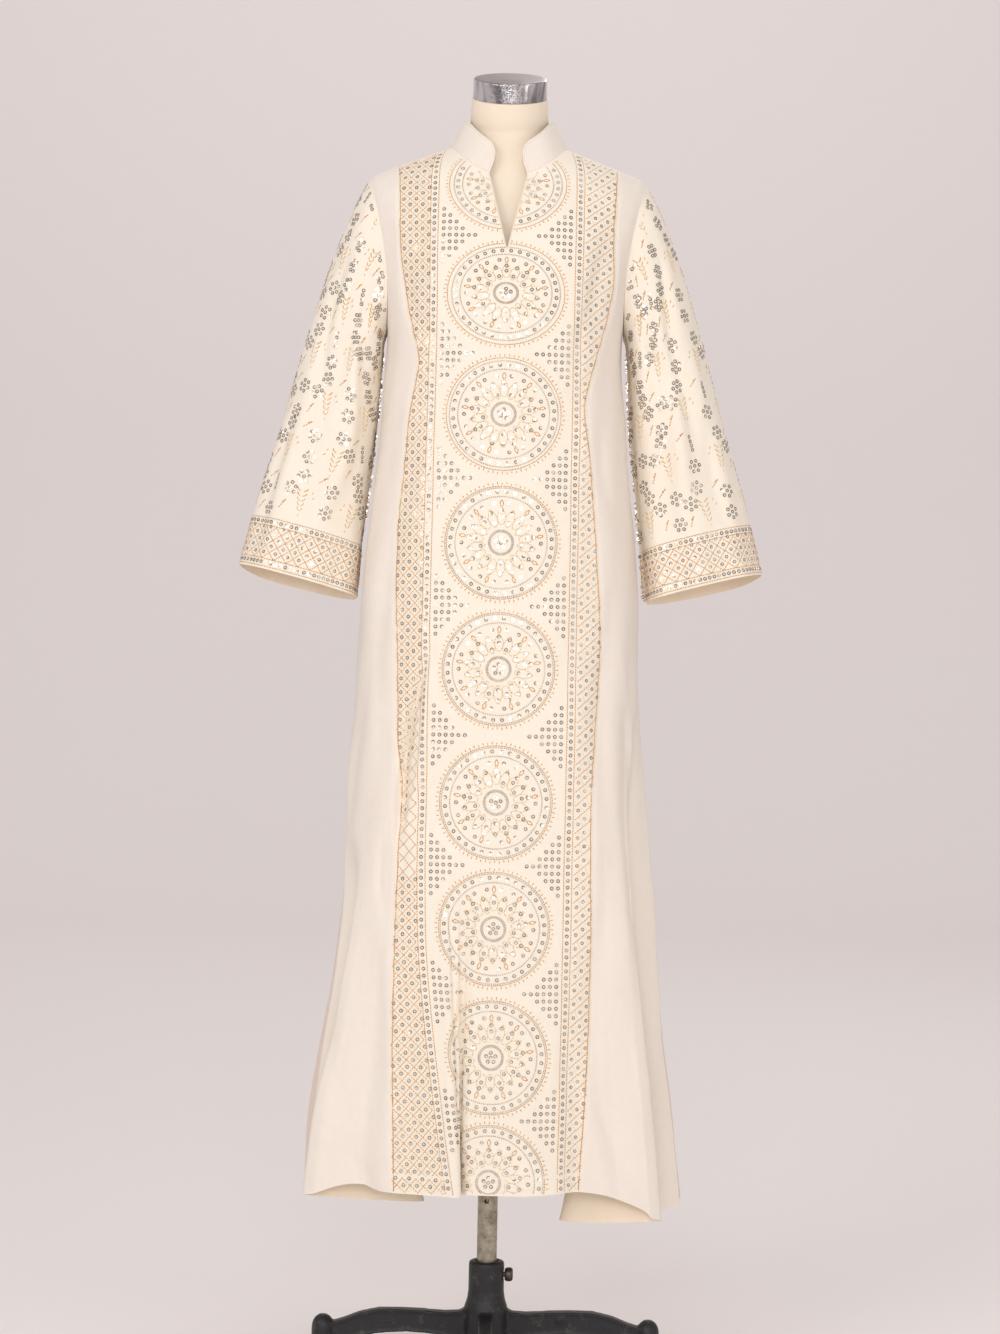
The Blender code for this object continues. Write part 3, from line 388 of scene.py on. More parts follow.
# Rows and columns of the cloth shells
ROWS_BELOW = 118
ROWS_APEX = 22
ROWS_TOP = 34
CENTRE_COLUMNS = 60
SIDE_FRONT_COLUMNS = 84
SIDE_BACK_COLUMNS = 34
BACK_CENTRE_COLUMNS = 40
SLEEVE_ROWS = 104
SLEEVE_ROUND = 120
SEAM_DIP = 0.0009
SEAM_DIP_WIDTH = 0.0022
PUCKER = 0.0007
PUCKER_REACH = 0.012
PUCKER_PITCH = 0.042
HEM_STITCH_DIP = 0.0005
HEM_TURN_UP = 0.024
CUFF_TURN_UP = 0.010
SLEEVE_CREASE_GAIN = 2.1
SHARP_CLOTH_DEG = 55
COLLAR_ROWS = 15
COLLAR_COLUMNS = 190

# Embroidery, laid out flat
STITCH_PITCH = 0.0039
STITCH_WIDTH = 0.00170
SEQUIN_RADIUS = 0.0028
BEAD_RADIUS = 0.0010
MEDALLIONS = named_rows(
    "z ring squash",
    (1.645, 0.0805, 0.90),
    (1.490, 0.0805, 0.87),
    (1.326, 0.0785, 0.97),
    (1.152, 0.0765, 1.00),
    (0.981, 0.0765, 1.00),
    (0.801, 0.0765, 1.00),
    (0.631, 0.0765, 1.00),
    (0.458, 0.0765, 1.00),
    (0.291, 0.0765, 1.00)
)
RING_BEADS_OUTER = 0.0742
RING_SEQUINS = 0.0690
RING_SEQUIN_COUNT = 36
RING_BEADS_INNER = 0.0625
RING_BEAD_PITCH = 0.0028
HUB_BEAD_PITCH = 0.0023
RAY_STEP_DEG = 4.5
RAY_FOOT = 0.0018
RAY_TIPS = (0.0046, 0.0066)
RAY_PITCH = 0.0040
HUB_BEADS_OUTER = 0.0168
HUB_BEADS_INNER = 0.0148
HUB_SEQUINS = 0.0066
SPOKES = 9
SECTOR_DEG = 40.0
# In each sector: radius and angle from its spoke; for a leaf its kind, foot, tip, angle, width and pitch
SECTOR_SEQUINS = (
    (0.0355, 0.0), (0.0435, 0.0), (0.0538, -10.5), (0.0538, 10.5), (0.0280, 20.0), (0.0420, 20.0),
)
SECTOR_LEAVES = (
    ("tick", 0.0490, 0.0580, 0.0, 0.0040, 0.0030),
    ("petal", 0.0235, 0.0485, 0.0, 0.0115, STITCH_PITCH),
    ("petal", 0.0215, 0.0475, 20.0, 0.0120, STITCH_PITCH),
)
FLOWER_RADIUS = 0.0078
BORDER_THREADS = (0.0950, 0.1062)
BORDER_SEQUINS = 0.1006
BORDER_SEQUIN_PITCH = 0.0094
LATTICE_START = 0.1085
LATTICE_END = 0.1800
LATTICE_PITCH = 0.0187
LATTICE_RISE = 0.80
LATTICE_BARS = 8
SMALL_SEQUIN = 0.92
SEAM_LINE_INSET = 0.0044
SEAM_LINE_SIZE = 1.25
# How far the marks stay from an edge
SEAM_MARGIN = 0.0022
NECK_MARGIN = 0.0020
RIDGE_MARGIN = 0.0040
EDGE_MARGIN = 0.0016
ARMHOLE_MARGIN = 0.004
# Edge of the soft fold that lies over the left lattice
FOLD_EDGE_Z = (0.700, 0.716, 0.800, 0.861, 0.935, 0.936)
FOLD_EDGE = (0.1420, 0.1340, 0.1240, 0.1175, 0.1090, 0.0)
TRIANGLE_COLUMNS = ((0.0870, 9), (0.0783, 7), (0.0696, 5), (0.0609, 3), (0.0522, 1), (0.0435, 1))
TRIANGLE_PITCH = 0.0098
FRONT_LENGTH = (0.255, 1.760)
# The repeat of the sleeves' pattern, and the cuff's
CELL_ACROSS = 0.084
CELL_ALONG = 0.069
CELL_ROWS = 8
CELLS_EACH_WAY = 4
CELL_FOOT = 0.112
CELL_JITTER = 0.003
SLEEVE_REACH = 0.300
SLEEVE_LOOSENESS = 1.5
CUFF_PITCH = 0.0178
CUFF_LINES = (0.0705, 0.0600, 0.0142, 0.0036)
CUFF_SEQUIN_ROWS = ((0.0653, 0.0076), (0.0090, 0.0072))
COLLAR_STITCH_INSET = 0.0030
WOBBLE_SEED = 7

# Read from the tables
HEM_REFERENCE_Z = float(SECTION.knots[0])
NECK_TOP_Y, NECK_TOP_Z = (float(NECK_RINGS.values[name][-1]) for name in ("y", "z"))


def unit(vectors):
    return vectors / np.maximum(np.linalg.norm(vectors, axis=-1, keepdims=True), 1e-12)


def ridge_z(across):
    past = np.maximum(across - SHOULDER_END_X, 0.0) / SHOULDER_END_REACH
    return RIDGE_TOP - RIDGE_SLOPE * across - SHOULDER_END_DROP * past ** 2


def half_width(side, z):
    return np.where(side > 0, SECTION.at("half_right", z), SECTION.at("half_left", z))


def bent(value, power):
    return np.copysign(np.abs(value) ** power, value)


def smooth_body(angle, z):
    """The body without folds. Angles are in degrees from centre front, left negative."""
    turn = np.radians(angle)
    sine, cosine = np.sin(turn), np.cos(turn)
    power = 2 / SECTION.at("squareness", z)
    half = half_width(np.where(sine >= 0, 1, -1), z)
    depth = np.where(cosine >= 0, SECTION.at("front", z), SECTION.at("back", z))
    x = half * bent(sine, power)
    y = -depth * bent(cosine, power)
    rise = np.clip((z - (ridge_z(np.abs(x)) - RIDGE_ROUND)) / RIDGE_ROUND, 0.0, 1.0)
    return x, y * np.sqrt(1 - rise ** 2)


def angle_across(across, side, z):
    """Angle from the centre line at which the smooth body is this far across."""
    share = np.clip(across / half_width(side, z), 0.0, 1.0)
    return np.degrees(np.arcsin(share ** (SECTION.at("squareness", z) / 2)))


def pleat_curve(pleat):
    """Knots of one pleat: angles, and how far the hem leaves the smooth body there."""
    side = pleat["side"]
    start_x, start_y = (float(v) for v in smooth_body(side * pleat["start"], HEM_REFERENCE_Z))
    end_x, end_y = (float(v) for v in smooth_body(side * pleat["end"], HEM_REFERENCE_Z))
    start_x, end_x = side * start_x, side * end_x
    tip, turn, roll = pleat["tip"], pleat["turn"], pleat["roll"]
    tip_y, turn_y = pleat["tip_y"], pleat["turn_y"]
    way = math.copysign(1.0, tip - turn)
    places = (
        (start_x, start_y),
        (0.4 * start_x + 0.6 * tip, 0.4 * start_y + 0.6 * (tip_y - roll)),
        (tip - way * roll, tip_y - roll),
        (tip, tip_y),
        (tip - way * roll, tip_y + roll),
        ((tip + turn) / 2, (tip_y + turn_y) / 2),
        (turn + way * roll, turn_y - roll),
        (turn, turn_y),
        (turn + way * roll, turn_y + roll),
        (0.5 * turn + 0.5 * end_x, 0.55 * (turn_y + roll) + 0.45 * end_y),
        (end_x, end_y),
    )
    angles, moves = [], []
    for share, (across, forward) in zip(PLEAT_SHARES, places):
        angle = pleat["start"] + share * (pleat["end"] - pleat["start"])
        x, y = smooth_body(side * angle, HEM_REFERENCE_Z)
        angles.append(angle)
        moves.append((side * across - float(x), forward - float(y)))
    if angles[0] > angles[-1]:
        angles.reverse()
        moves.reverse()
    return pleat, np.array(angles), np.array(moves)


PLEAT_CURVES = [pleat_curve(pleat) for pleat in PLEATS]


def grown(top_z, z, hem_z, growth):
    """How far a fold has grown at this height: nothing at its top, all of it at the hem."""
    return np.maximum((top_z - z) / (top_z - hem_z), 0.0) ** growth


def wave(offset, half_width_deg):
    """A soft bump, one in its middle and nothing at its edges."""
    near = np.clip(np.abs(offset) / half_width_deg, 0.0, 1.0)
    return 0.5 + 0.5 * np.cos(math.pi * near)


def hanging(angle, z):
    """Points of the hanging cloth, with the solids' own folds."""
    angle, z = np.broadcast_arrays(np.asarray(angle, dtype=float), np.asarray(z, dtype=float))
    x, y = smooth_body(angle, z)
    hem_z = HEM.at("z", angle)
    for pleat, angles, moves in PLEAT_CURVES:
        outward = angle * pleat["side"]
        within = (outward > angles[0]) & (outward < angles[-1])
        share = np.where(within, grown(pleat["top_z"], z, hem_z, pleat["growth"]), 0.0)
        x = x + share * smooth(angles, moves[:, 0], outward)
        y = y + share * smooth(angles, moves[:, 1], outward)
    out = unit(np.stack((x, y * 1.6), axis=-1))
    for flute in FLUTES:
        offset = (angle - flute["angle"] + 180) % 360 - 180
        size = flute["depth"] * wave(offset, flute["half_width"]) * grown(flute["top_z"], z, hem_z, 1.3)
        x = x + out[..., 0] * size
        y = y + out[..., 1] * size
    return np.stack((x, y, z), axis=-1)


def body_outward(angle, z):
    """Outward direction of the hanging cloth."""
    round_step, down_step = 0.3, 0.0008
    along = hanging(angle + round_step, z) - hanging(angle - round_step, z)
    up = hanging(angle, z) - hanging(angle, z - down_step)
    return unit(np.cross(along, up))


def between(grid, row, col):
    """A value of a regular grid at fractional places."""
    row = np.clip(row, 0, grid.shape[0] - 1.000001)
    col = np.clip(col, 0, grid.shape[1] - 1.000001)
    r, c = row.astype(int), col.astype(int)
    fr, fc = row - r, col - c
    low = grid[r, c] * (1 - fc) + grid[r, c + 1] * fc
    high = grid[r + 1, c] * (1 - fc) + grid[r + 1, c + 1] * fc
    return low * (1 - fr) + high * fr


class FlatBody:
    """The flat cloth of the body: across is measured round it from centre front, along goes up it."""

    LEVEL_STEP = 0.005
    ANGLE_STEP = 0.5
    ACROSS_STEP = 0.001
    REACH = 0.80
    PROFILE_ACROSS = 0.060

    def __init__(self):
        self.levels = np.arange(0.220, 1.7375, self.LEVEL_STEP)
        angles = np.arange(-180, 180 + self.ANGLE_STEP / 2, self.ANGLE_STEP)
        points = hanging(angles[None, :], self.levels[:, None])[..., :2]
        lengths = np.linalg.norm(np.diff(points, axis=1), axis=-1)
        passed = np.concatenate((np.zeros((len(self.levels), 1)), np.cumsum(lengths, axis=1)), axis=1)
        self.passed = passed - passed[:, len(angles) // 2][:, None]
        flat = np.arange(-self.REACH, self.REACH + self.ACROSS_STEP / 2, self.ACROSS_STEP)
        self.angles = np.array([np.interp(flat, row, angles) for row in self.passed])
        self.half_girth = self.passed[:, -1]
        heights = np.arange(0.220, 1.716, 0.001)
        side = np.degrees(np.arcsin((self.PROFILE_ACROSS / SECTION.at("half_right", heights))
                                    ** (SECTION.at("squareness", heights) / 2)))
        profile = hanging(side, heights)[:, 1:]
        steps = np.linalg.norm(np.diff(profile, axis=0), axis=-1)
        along = np.concatenate(([0.0], np.cumsum(steps)))
        self.heights = heights
        self.alongs = along - np.interp(UNDERARM_Z, heights, along) + UNDERARM_Z

    def across(self, angle, z):
        return between(self.passed, (z - self.levels[0]) / self.LEVEL_STEP, (angle + 180) / self.ANGLE_STEP)

    def angle(self, across, z):
        return between(self.angles, (z - self.levels[0]) / self.LEVEL_STEP,
                       (across + self.REACH) / self.ACROSS_STEP)

    def girth(self, z):
        return 2 * np.interp(z, self.levels, self.half_girth)

    def along_at(self, z):
        return np.interp(z, self.heights, self.alongs)

    def height_at(self, along):
        return np.interp(along, self.alongs, self.heights)


flat_body = FlatBody()


def crease_relief(across, along, rows, girth):
    """Sum of soft creases, each fading out at its two ends."""
    relief = np.zeros(np.broadcast(across, along).shape)
    for a0, b0, a1, b1, half, depth in rows:
        middle = (a0 + a1) / 2
        offset = (across - middle + girth / 2) % girth - girth / 2
        step = np.array((a1 - a0, b1 - b0))
        length = float(np.linalg.norm(step))
        step /= length
        from_start = (offset + middle - a0) * step[0] + (along - b0) * step[1]
        aside = -(offset + middle - a0) * step[1] + (along - b0) * step[0]
        bow = 0.06 * length * np.sin(math.pi * np.clip(from_start / length, 0, 1))
        ends = wave(from_start - length / 2, length / 2 * 1.15) ** 0.7
        relief = relief + depth * np.exp(-((aside - bow * math.copysign(1, depth)) / half) ** 2) * ends
    return relief


def princess_across(z, side):
    """Flat place of a front princess seam."""
    name = "right" if side > 0 else "left"
    angle = side * angle_across(PRINCESS.at(name, z), side, z)
    return flat_body.across(angle, z)


SEAM_LEVELS = np.arange(0.225, 1.74, 0.004)
SEAM_PLACES = {side: princess_across(SEAM_LEVELS, side) for side in (-1, 1)}


def body_relief(angle, z):
    """Small creases, seam grooves and puckers of the body."""
    across = flat_body.across(angle, z)
    girth = flat_body.girth(z)
    relief = crease_relief(across, z, BODY_CREASES, girth)
    turn = np.radians(angle)
    calm = np.clip((ridge_z(0.12) - z) / 0.10, 0.0, 1.0)
    relief = relief + calm * 0.0007 * (np.sin(9 * turn + 11.0 * z) + 0.7 * np.sin(17 * turn - 23.0 * z + 1.3)
                                       + 0.5 * np.sin(5 * turn + 47.0 * z + 0.6))
    for side in (-1, 1):
        away = np.abs(across - np.interp(z, SEAM_LEVELS, SEAM_PLACES[side]))
        relief = relief - SEAM_DIP * np.exp(-(away / SEAM_DIP_WIDTH) ** 2)
        ripple = np.sin(2 * math.pi * z / PUCKER_PITCH + 3 * np.sin(z * 31.0) + side)
        relief = relief + PUCKER * ripple * np.exp(-(away / PUCKER_REACH) ** 2)
    for side_angle in (-90.0, 90.0):
        away = np.abs(angle - side_angle) * girth / 360
        relief = relief - SEAM_DIP * np.exp(-(away / SEAM_DIP_WIDTH) ** 2) * (z < UNDERARM_Z + 0.01)
    hem_z = HEM.at("z", angle)
    relief = relief - HEM_STITCH_DIP * np.exp(-((z - hem_z - HEM_TURN_UP) / SEAM_DIP_WIDTH) ** 2)
    return relief * free_share(angle, z)


def free_share(angle, z):
    """One where the cloth is free, and nothing at the edges that meet a sleeve, the collar or a shoulder."""
    x = np.abs(smooth_body(angle, z)[0])
    to_ridge = ridge_z(x) - z
    to_arm = np.where(z > UNDERARM_Z, ARM.at("across", z) - x, 1.0)
    neck_z = np.where(np.abs(angle) < 90, NECK_CUT.at("front", x), NECK_CUT.at("back", x))
    to_neck = np.where(x < NECK_POINT_X, neck_z - z, 1.0)
    near = np.minimum(np.minimum(to_ridge / 0.030, to_arm / 0.014), to_neck / 0.022)
    return np.clip(near, 0.0, 1.0)


def finished_body(angle, z):
    """Points of the finished cloth and its outward directions."""
    outward = body_outward(angle, z)
    return hanging(angle, z) + outward * body_relief(angle, z)[..., None], outward


def slit_half(z):
    share = np.clip((z - SLIT_APEX_Z) / (SLIT_TOP_Z - SLIT_APEX_Z), 0.0, 1.0)
    return SLIT_HALF_WIDTH * share


def crowded(count, power):
    """Shares from 0 to 1 that crowd together near 1."""
    return 1 - (1 - np.linspace(0, 1, count)) ** power


def half_grid(side, face):
    """Angles and heights of half the front or back, and the number of its column at the princess line."""
    seam = {("front", -1): "left", ("front", 1): "right"}.get((face, side), "back")
    inner = slit_half if face == "front" else (lambda z: 0.0 * z)
    seam_at_neck = float(PRINCESS.at(seam, ridge_z(NECK_POINT_X)))
    inner_top = float(inner(np.array(SLIT_TOP_Z)))
    neck_share = (NECK_POINT_X - inner_top) / (seam_at_neck - inner_top)
    centre_count = CENTRE_COLUMNS if face == "front" else BACK_CENTRE_COLUMNS
    to_neck = int(round(centre_count * neck_share))
    shares = np.concatenate((crowded(to_neck + 1, 1.25) * neck_share,
                             np.linspace(neck_share, 0.97, centre_count - to_neck)[1:], (0.985, 1.0)))
    side_count = SIDE_FRONT_COLUMNS if face == "front" else SIDE_BACK_COLUMNS
    side_shares = np.concatenate(((0.012, 0.03), np.linspace(0.05, 0.985, side_count - 3), (1.0,)))
    seam_column = len(shares) - 1

    def signed(z):
        """Angles of all columns, where z has one height for each column."""
        zc, zs = z[..., :seam_column + 1], z[..., seam_column + 1:]
        centre = angle_across(inner(zc) + shares * (PRINCESS.at(seam, zc) - inner(zc)), side, zc)
        edge = angle_across(PRINCESS.at(seam, zs), side, zs)
        outer = np.where(zs <= UNDERARM_Z, 90.0, angle_across(ARM.at("across", zs), side, zs))
        angle = np.concatenate((centre, edge + (outer - edge) * side_shares), axis=-1)
        return side * (angle if face == "front" else 180 - angle)

    count = seam_column + 1 + len(side_shares)
    tops = np.full(count, SLIT_TOP_Z)
    for _ in range(60):
        across = np.abs(smooth_body(signed(tops), tops)[0])
        tops = np.where(across < NECK_POINT_X - 1e-6, NECK_CUT.at(face, across), ridge_z(across))
    below = np.linspace(0, 1, ROWS_BELOW)
    z = np.full((ROWS_BELOW, count), HEM_REFERENCE_Z)
    for _ in range(8):
        hem_z = HEM.at("z", signed(z))
        z = hem_z + below[:, None] * (UNDERARM_Z - hem_z)
    apex = (SLIT_APEX_Z - UNDERARM_Z) / (float(NECK_CUT.at("front", SLIT_HALF_WIDTH)) - UNDERARM_Z)
    over_apex = apex + (1 - apex) * crowded(ROWS_TOP, 1.9)
    above = np.concatenate((np.linspace(0, apex, ROWS_APEX)[1:], over_apex[1:]))
    z = np.concatenate((z, UNDERARM_Z + above[:, None] * (tops - UNDERARM_Z)))
    return signed(z), z, seam_column


def block(angle, z, first, last, from_back=False):
    """Points and flat places of part of a grid."""
    angle, z = angle[:, first:last + 1], z[:, first:last + 1]
    points, _ = finished_body(angle, z)
    across = flat_body.across(angle, z)
    if from_back:
        across = across - np.sign(angle) * flat_body.girth(z) / 2
    return points, np.stack((across, flat_body.along_at(z)), axis=-1)


def placed(name, data):
    """An object of this data, in the scene."""
    made = bpy.data.objects.new(name, data)
    bpy.context.scene.collection.objects.link(made)
    return made


def shell(name, blocks, wall, look, round_itself=False):
    """A closed thin shell of cloth on blocks of points, joined where they meet. Its outer face is given."""
    points = np.concatenate([b[0].reshape(-1, 3) for b in blocks])
    flats = np.concatenate([b[1].reshape(-1, 2) for b in blocks])
    keys = np.round(points * 1e6).astype(np.int64)
    _, first, joined = np.unique(keys, axis=0, return_index=True, return_inverse=True)
    joined = joined.reshape(-1)
    corners_used, start = [], 0
    for b in blocks:
        rows, cols = b[0].shape[:2]
        index = start + np.arange(rows * cols).reshape(rows, cols)
        quads = np.stack((index[:-1, :-1], index[:-1, 1:], index[1:, 1:], index[1:, :-1]), axis=-1)
        corners = b[0]
        across = corners[:-1, 1:] - corners[:-1, :-1]
        up = corners[1:, :-1] - corners[:-1, :-1]
        centre = corners.mean(axis=1, keepdims=True)[:-1] if round_itself else np.zeros(3)
        out = (corners[:-1, :-1] - centre) * (1, 1, 0)
        if float(np.sum(np.cross(across, up) * out)) < 0:
            quads = quads[..., ::-1]
        corners_used.append(quads.reshape(-1, 4))
        start += rows * cols
    corners_used = np.concatenate(corners_used)
    mesh = bpy.data.meshes.new(name)
    mesh.from_pydata(points[first].tolist(), [], joined[corners_used].tolist())
    layer = mesh.uv_layers.new(name="flat")
    layer.data.foreach_set("uv", flats[corners_used].astype(np.float32).reshape(-1))
    mesh.shade_smooth()
    piece = placed(name, mesh)
    solid = piece.modifiers.new("Wall", "SOLIDIFY")
    solid.thickness = wall
    solid.offset = -1
    solid.material_offset = 1
    piece.data.materials.append(look)
    # The inner face takes the inside cloth, whose colour holds painted light
    piece.data.materials.append(inside_painted_light_look)
    piece = made_plain(piece)
    piece.data.set_sharp_from_angle(angle=math.radians(SHARP_CLOTH_DEG))
    return piece


def made_plain(piece):
    """The same piece with its modifiers worked into a plain mesh."""
    bpy.context.view_layer.update()
    shown = piece.evaluated_get(bpy.context.evaluated_depsgraph_get())
    mesh = bpy.data.meshes.new_from_object(shown)
    mesh.transform(piece.matrix_world)
    name = piece.name
    old = piece.data
    bpy.data.objects.remove(piece)
    bpy.data.meshes.remove(old)
    mesh.name = name
    return placed(name, mesh)


def feed(tree, socket, value):
    """Gives a node's input a value, or a link where the value is an output."""
    if isinstance(value, Wire):
        value = value.socket
    if isinstance(value, bpy.types.NodeSocket):
        tree.links.new(value, socket)
    else:
        socket.default_value = value


def add_node(tree, kind, settings, values):
    """A node with its settings, and a value or a link for each input that is named."""
    made = tree.nodes.new(kind)
    for name, value in settings.items():
        setattr(made, name, value)
    for name, value in values.items():
        feed(tree, made.inputs[name], value)
    return made


def sum_method(operation, reflected=False):
    """A method of Wire that adds one Math node."""
    def method(self, other):
        first, second = (other, self) if reflected else (self, other)
        return self.paint.node("ShaderNodeMath", {"operation": operation}, {0: first, 1: second})
    return method


class Wire:
    """An output of a material's node, with plain sums on it."""

    def __init__(self, paint, socket):
        self.paint = paint
        self.socket = socket

    __add__ = sum_method("ADD")
    __radd__ = sum_method("ADD", reflected=True)
    __sub__ = sum_method("SUBTRACT")
    __rsub__ = sum_method("SUBTRACT", reflected=True)
    __mul__ = sum_method("MULTIPLY")
    __rmul__ = sum_method("MULTIPLY", reflected=True)

    def within(self, low, high):
        """This value as a share from 0 to 1 between two limits."""
        return self.paint.node("ShaderNodeMapRange", {"clamp": True},
                               {"Value": self, "From Min": low, "From Max": high})


class Paint:
    """The node tree of one material."""

    def __init__(self, name):
        self.look = bpy.data.materials.new(name)
        self.look.use_nodes = True
        self.tree = self.look.node_tree
        self.shader = self.tree.nodes["Principled BSDF"]
        self.places = self.tree.nodes.new("ShaderNodeTexCoord")

    def node(self, kind, settings, values, out=0):
        return Wire(self, add_node(self.tree, kind, settings, values).outputs[out])

    def flat(self):
        return Wire(self, self.places.outputs["UV"])

    def solid(self):
        return Wire(self, self.places.outputs["Object"])

    def stretched(self, places, across, along, up=1.0):
        return self.node("ShaderNodeVectorMath", {"operation": "MULTIPLY"},
                         {0: places, 1: (across, along, up)})

    def noise(self, places, scale, detail=2.0, rough=0.5):
        return self.node("ShaderNodeTexNoise", {},
                         {"Vector": places, "Scale": scale, "Detail": detail, "Roughness": rough})

    def mix(self, share, first, second):
        return self.node("ShaderNodeMix", {"data_type": "RGBA"}, {0: share, 6: first, 7: second}, 2)

    def bump(self, height, distance):
        values = {"Height": height, "Distance": distance, "Strength": 1.0}
        feed(self.tree, self.shader.inputs["Normal"], self.node("ShaderNodeBump", {}, values))

    def finish(self, **values):
        for name, value in values.items():
            feed(self.tree, self.shader.inputs[name.replace("_", " ")], value)
        return self.look


def colour(red, green, blue):
    """A colour from its screen values of 0 to 255."""
    parts = [value / 255 for value in (red, green, blue)]
    return tuple(p / 12.92 if p <= 0.04045 else ((p + 0.055) / 1.055) ** 2.4 for p in parts) + (1.0,)


def cloth_look(name, light, deep, slub_depth):
    """Soft plain weave with uneven yarns, a faint crinkle and a little fuzz."""
    paint = Paint(name)
    flat = paint.flat()
    weft = paint.noise(paint.stretched(flat, 60.0, 1400.0), 1.0, 3.0, 0.6)
    warp = paint.noise(paint.stretched(flat, 1300.0, 50.0), 1.0, 3.0, 0.6)
    crinkle = paint.noise(paint.stretched(flat, 110.0, 60.0), 1.0, 4.0, 0.55)
    broad = paint.noise(flat, 9.0, 2.0, 0.5)
    weave = weft + warp
    tone = (weave * 0.35 + crinkle * 0.3 + broad * 0.35).within(0.35, 0.95)
    paint.bump(weave * 0.5 + crinkle * 1.1, slub_depth)
    rough = crinkle.within(0.0, 1.0) * 0.12 + 0.74
    return paint.finish(Base_Color=paint.mix(tone, deep, light), Roughness=rough, Sheen_Weight=0.18,
                        Sheen_Roughness=0.5, Specular_IOR_Level=0.25)


def metal_look(name, base, worn, rough, metallic, pit_scale, pit_depth, wear):
    """Metal with a worn skin: patches of another tone, and small pits."""
    paint = Paint(name)
    places = paint.solid()
    patches = paint.noise(places, pit_scale * 0.22, 4.0, 0.6)
    pits = paint.noise(places, pit_scale, 6.0, 0.7)
    share = (patches * 0.6 + pits * 0.4).within(1 - wear - 0.12, 1 - wear + 0.12)
    paint.bump(pits, pit_depth)
    return paint.finish(Base_Color=paint.mix(share, base, worn), Metallic=metallic,
                        Roughness=share * 0.18 + rough)


plain_look = cloth_look("plain_cloth", colour(238, 230, 220), colour(230, 219, 206), 0.00030)
ground_look = cloth_look("embroidered_cloth", colour(243, 235, 221), colour(236, 225, 207), 0.00028)
# Back panel's cloth: the plain cloth's colour with painted shade, darker and warmer, as the back shows in
# shade
back_painted_shade_look = cloth_look("back_cloth", colour(233, 216, 200), colour(222, 203, 184), 0.00030)
# Inside face of every cloth shell: a warm cloth colour with painted light, lighter than the outside, standing
# in for light that comes through the thin cloth
inside_painted_light_look = cloth_look("cloth_inside", colour(250, 236, 214), colour(244, 226, 200), 0.00028)
form_look = cloth_look("form_cloth", colour(242, 229, 210), colour(236, 221, 199), 0.00020)
pole_look = metal_look("pole_metal", colour(176, 168, 152), colour(112, 100, 84),
                       0.38, 0.85, 260.0, 0.00012, 0.45)
screw_look = metal_look("screw_metal", colour(104, 96, 88), colour(58, 52, 48),
                        0.36, 0.80, 300.0, 0.00020, 0.50)
iron_look = metal_look("base_iron", colour(40, 40, 42), colour(96, 90, 84),
                       0.46, 0.35, 330.0, 0.00035, 0.34)


def cap_finish():
    """Chrome with painted reflections in vertical bands, a pitted patch in the middle of its front, and a
    rougher top with painted shade.
    """
    paint = Paint("cap_chrome")
    places = paint.solid()
    x, y, z = (paint.node("ShaderNodeSeparateXYZ", {}, {0: places}, out) for out in range(3))
    pits = paint.noise(places, 620.0, 3.0, 0.6)
    spread = paint.noise(places, 90.0, 3.0, 0.6)
    away = (x + 0.004) * (x + 0.004) * 560.0 + spread * 0.55
    in_front = (y * -1.0).within(0.030, 0.050)
    patch = (1.0 - away.within(0.30, 0.66)) * in_front
    spots = pits.within(0.46, 0.58) * patch
    paint.bump(pits * patch, 0.0005)
    # Painted reflections: vertical dark and light bands in the chrome's colour
    painted_reflection_bands = paint.noise(paint.stretched(places, 62.0, 62.0, 3.0), 1.0, 2.0, 0.5).within(0.40, 0.60)
    chrome = paint.mix(painted_reflection_bands, colour(150, 146, 148), colour(228, 226, 228))
    speckled = paint.mix(spots, chrome, colour(82, 86, 92))
    tilt = math.radians(NECK_TILT_DEG)
    foot = math.cos(tilt) * NECK_TOP_Z - math.sin(tilt) * NECK_TOP_Y
    # Mask of the cap's top: it is rougher there, and painted shade makes its colour darker
    top_rough_and_painted_shade = (z * math.cos(tilt) - y * math.sin(tilt) - foot).within(CAP_HEIGHT - 0.0010, CAP_HEIGHT - 0.0002)
    return paint.finish(Base_Color=paint.mix(top_rough_and_painted_shade, speckled, colour(150, 139, 136)),
                        Metallic=1.0, Roughness=spots * 0.30 + top_rough_and_painted_shade * 0.22 + 0.08)


cap_look = cap_finish()


def thread_finish(name, light, deep, rough, sheen):
    paint = Paint(name)
    tone = paint.noise(paint.solid(), 60.0, 2.0, 0.5).within(0.35, 0.65)
    return paint.finish(Base_Color=paint.mix(tone, deep, light), Roughness=rough, Sheen_Weight=sheen)


orange_look = thread_finish("orange_thread", colour(230, 176, 108), colour(214, 154, 84), 0.5, 0.10)
pale_orange_look = thread_finish("pale_orange_thread", colour(238, 206, 146), colour(228, 188, 124),
                                 0.5, 0.10)
seam_look = thread_finish("sewing_thread", colour(224, 200, 168), colour(210, 184, 150), 0.6, 0.10)
grey_look = thread_finish("grey_beads", colour(214, 204, 190), colour(178, 166, 150), 0.3, 0.0)


def sequin_finish():
    paint = Paint("silver_sequin")
    tone = paint.noise(paint.solid(), 240.0, 1.0, 0.5).within(0.3, 0.7)
    return paint.finish(Base_Color=paint.mix(tone, colour(138, 126, 114), colour(202, 192, 180)),
                        Metallic=0.9, Roughness=0.17)


sequin_look = sequin_finish()


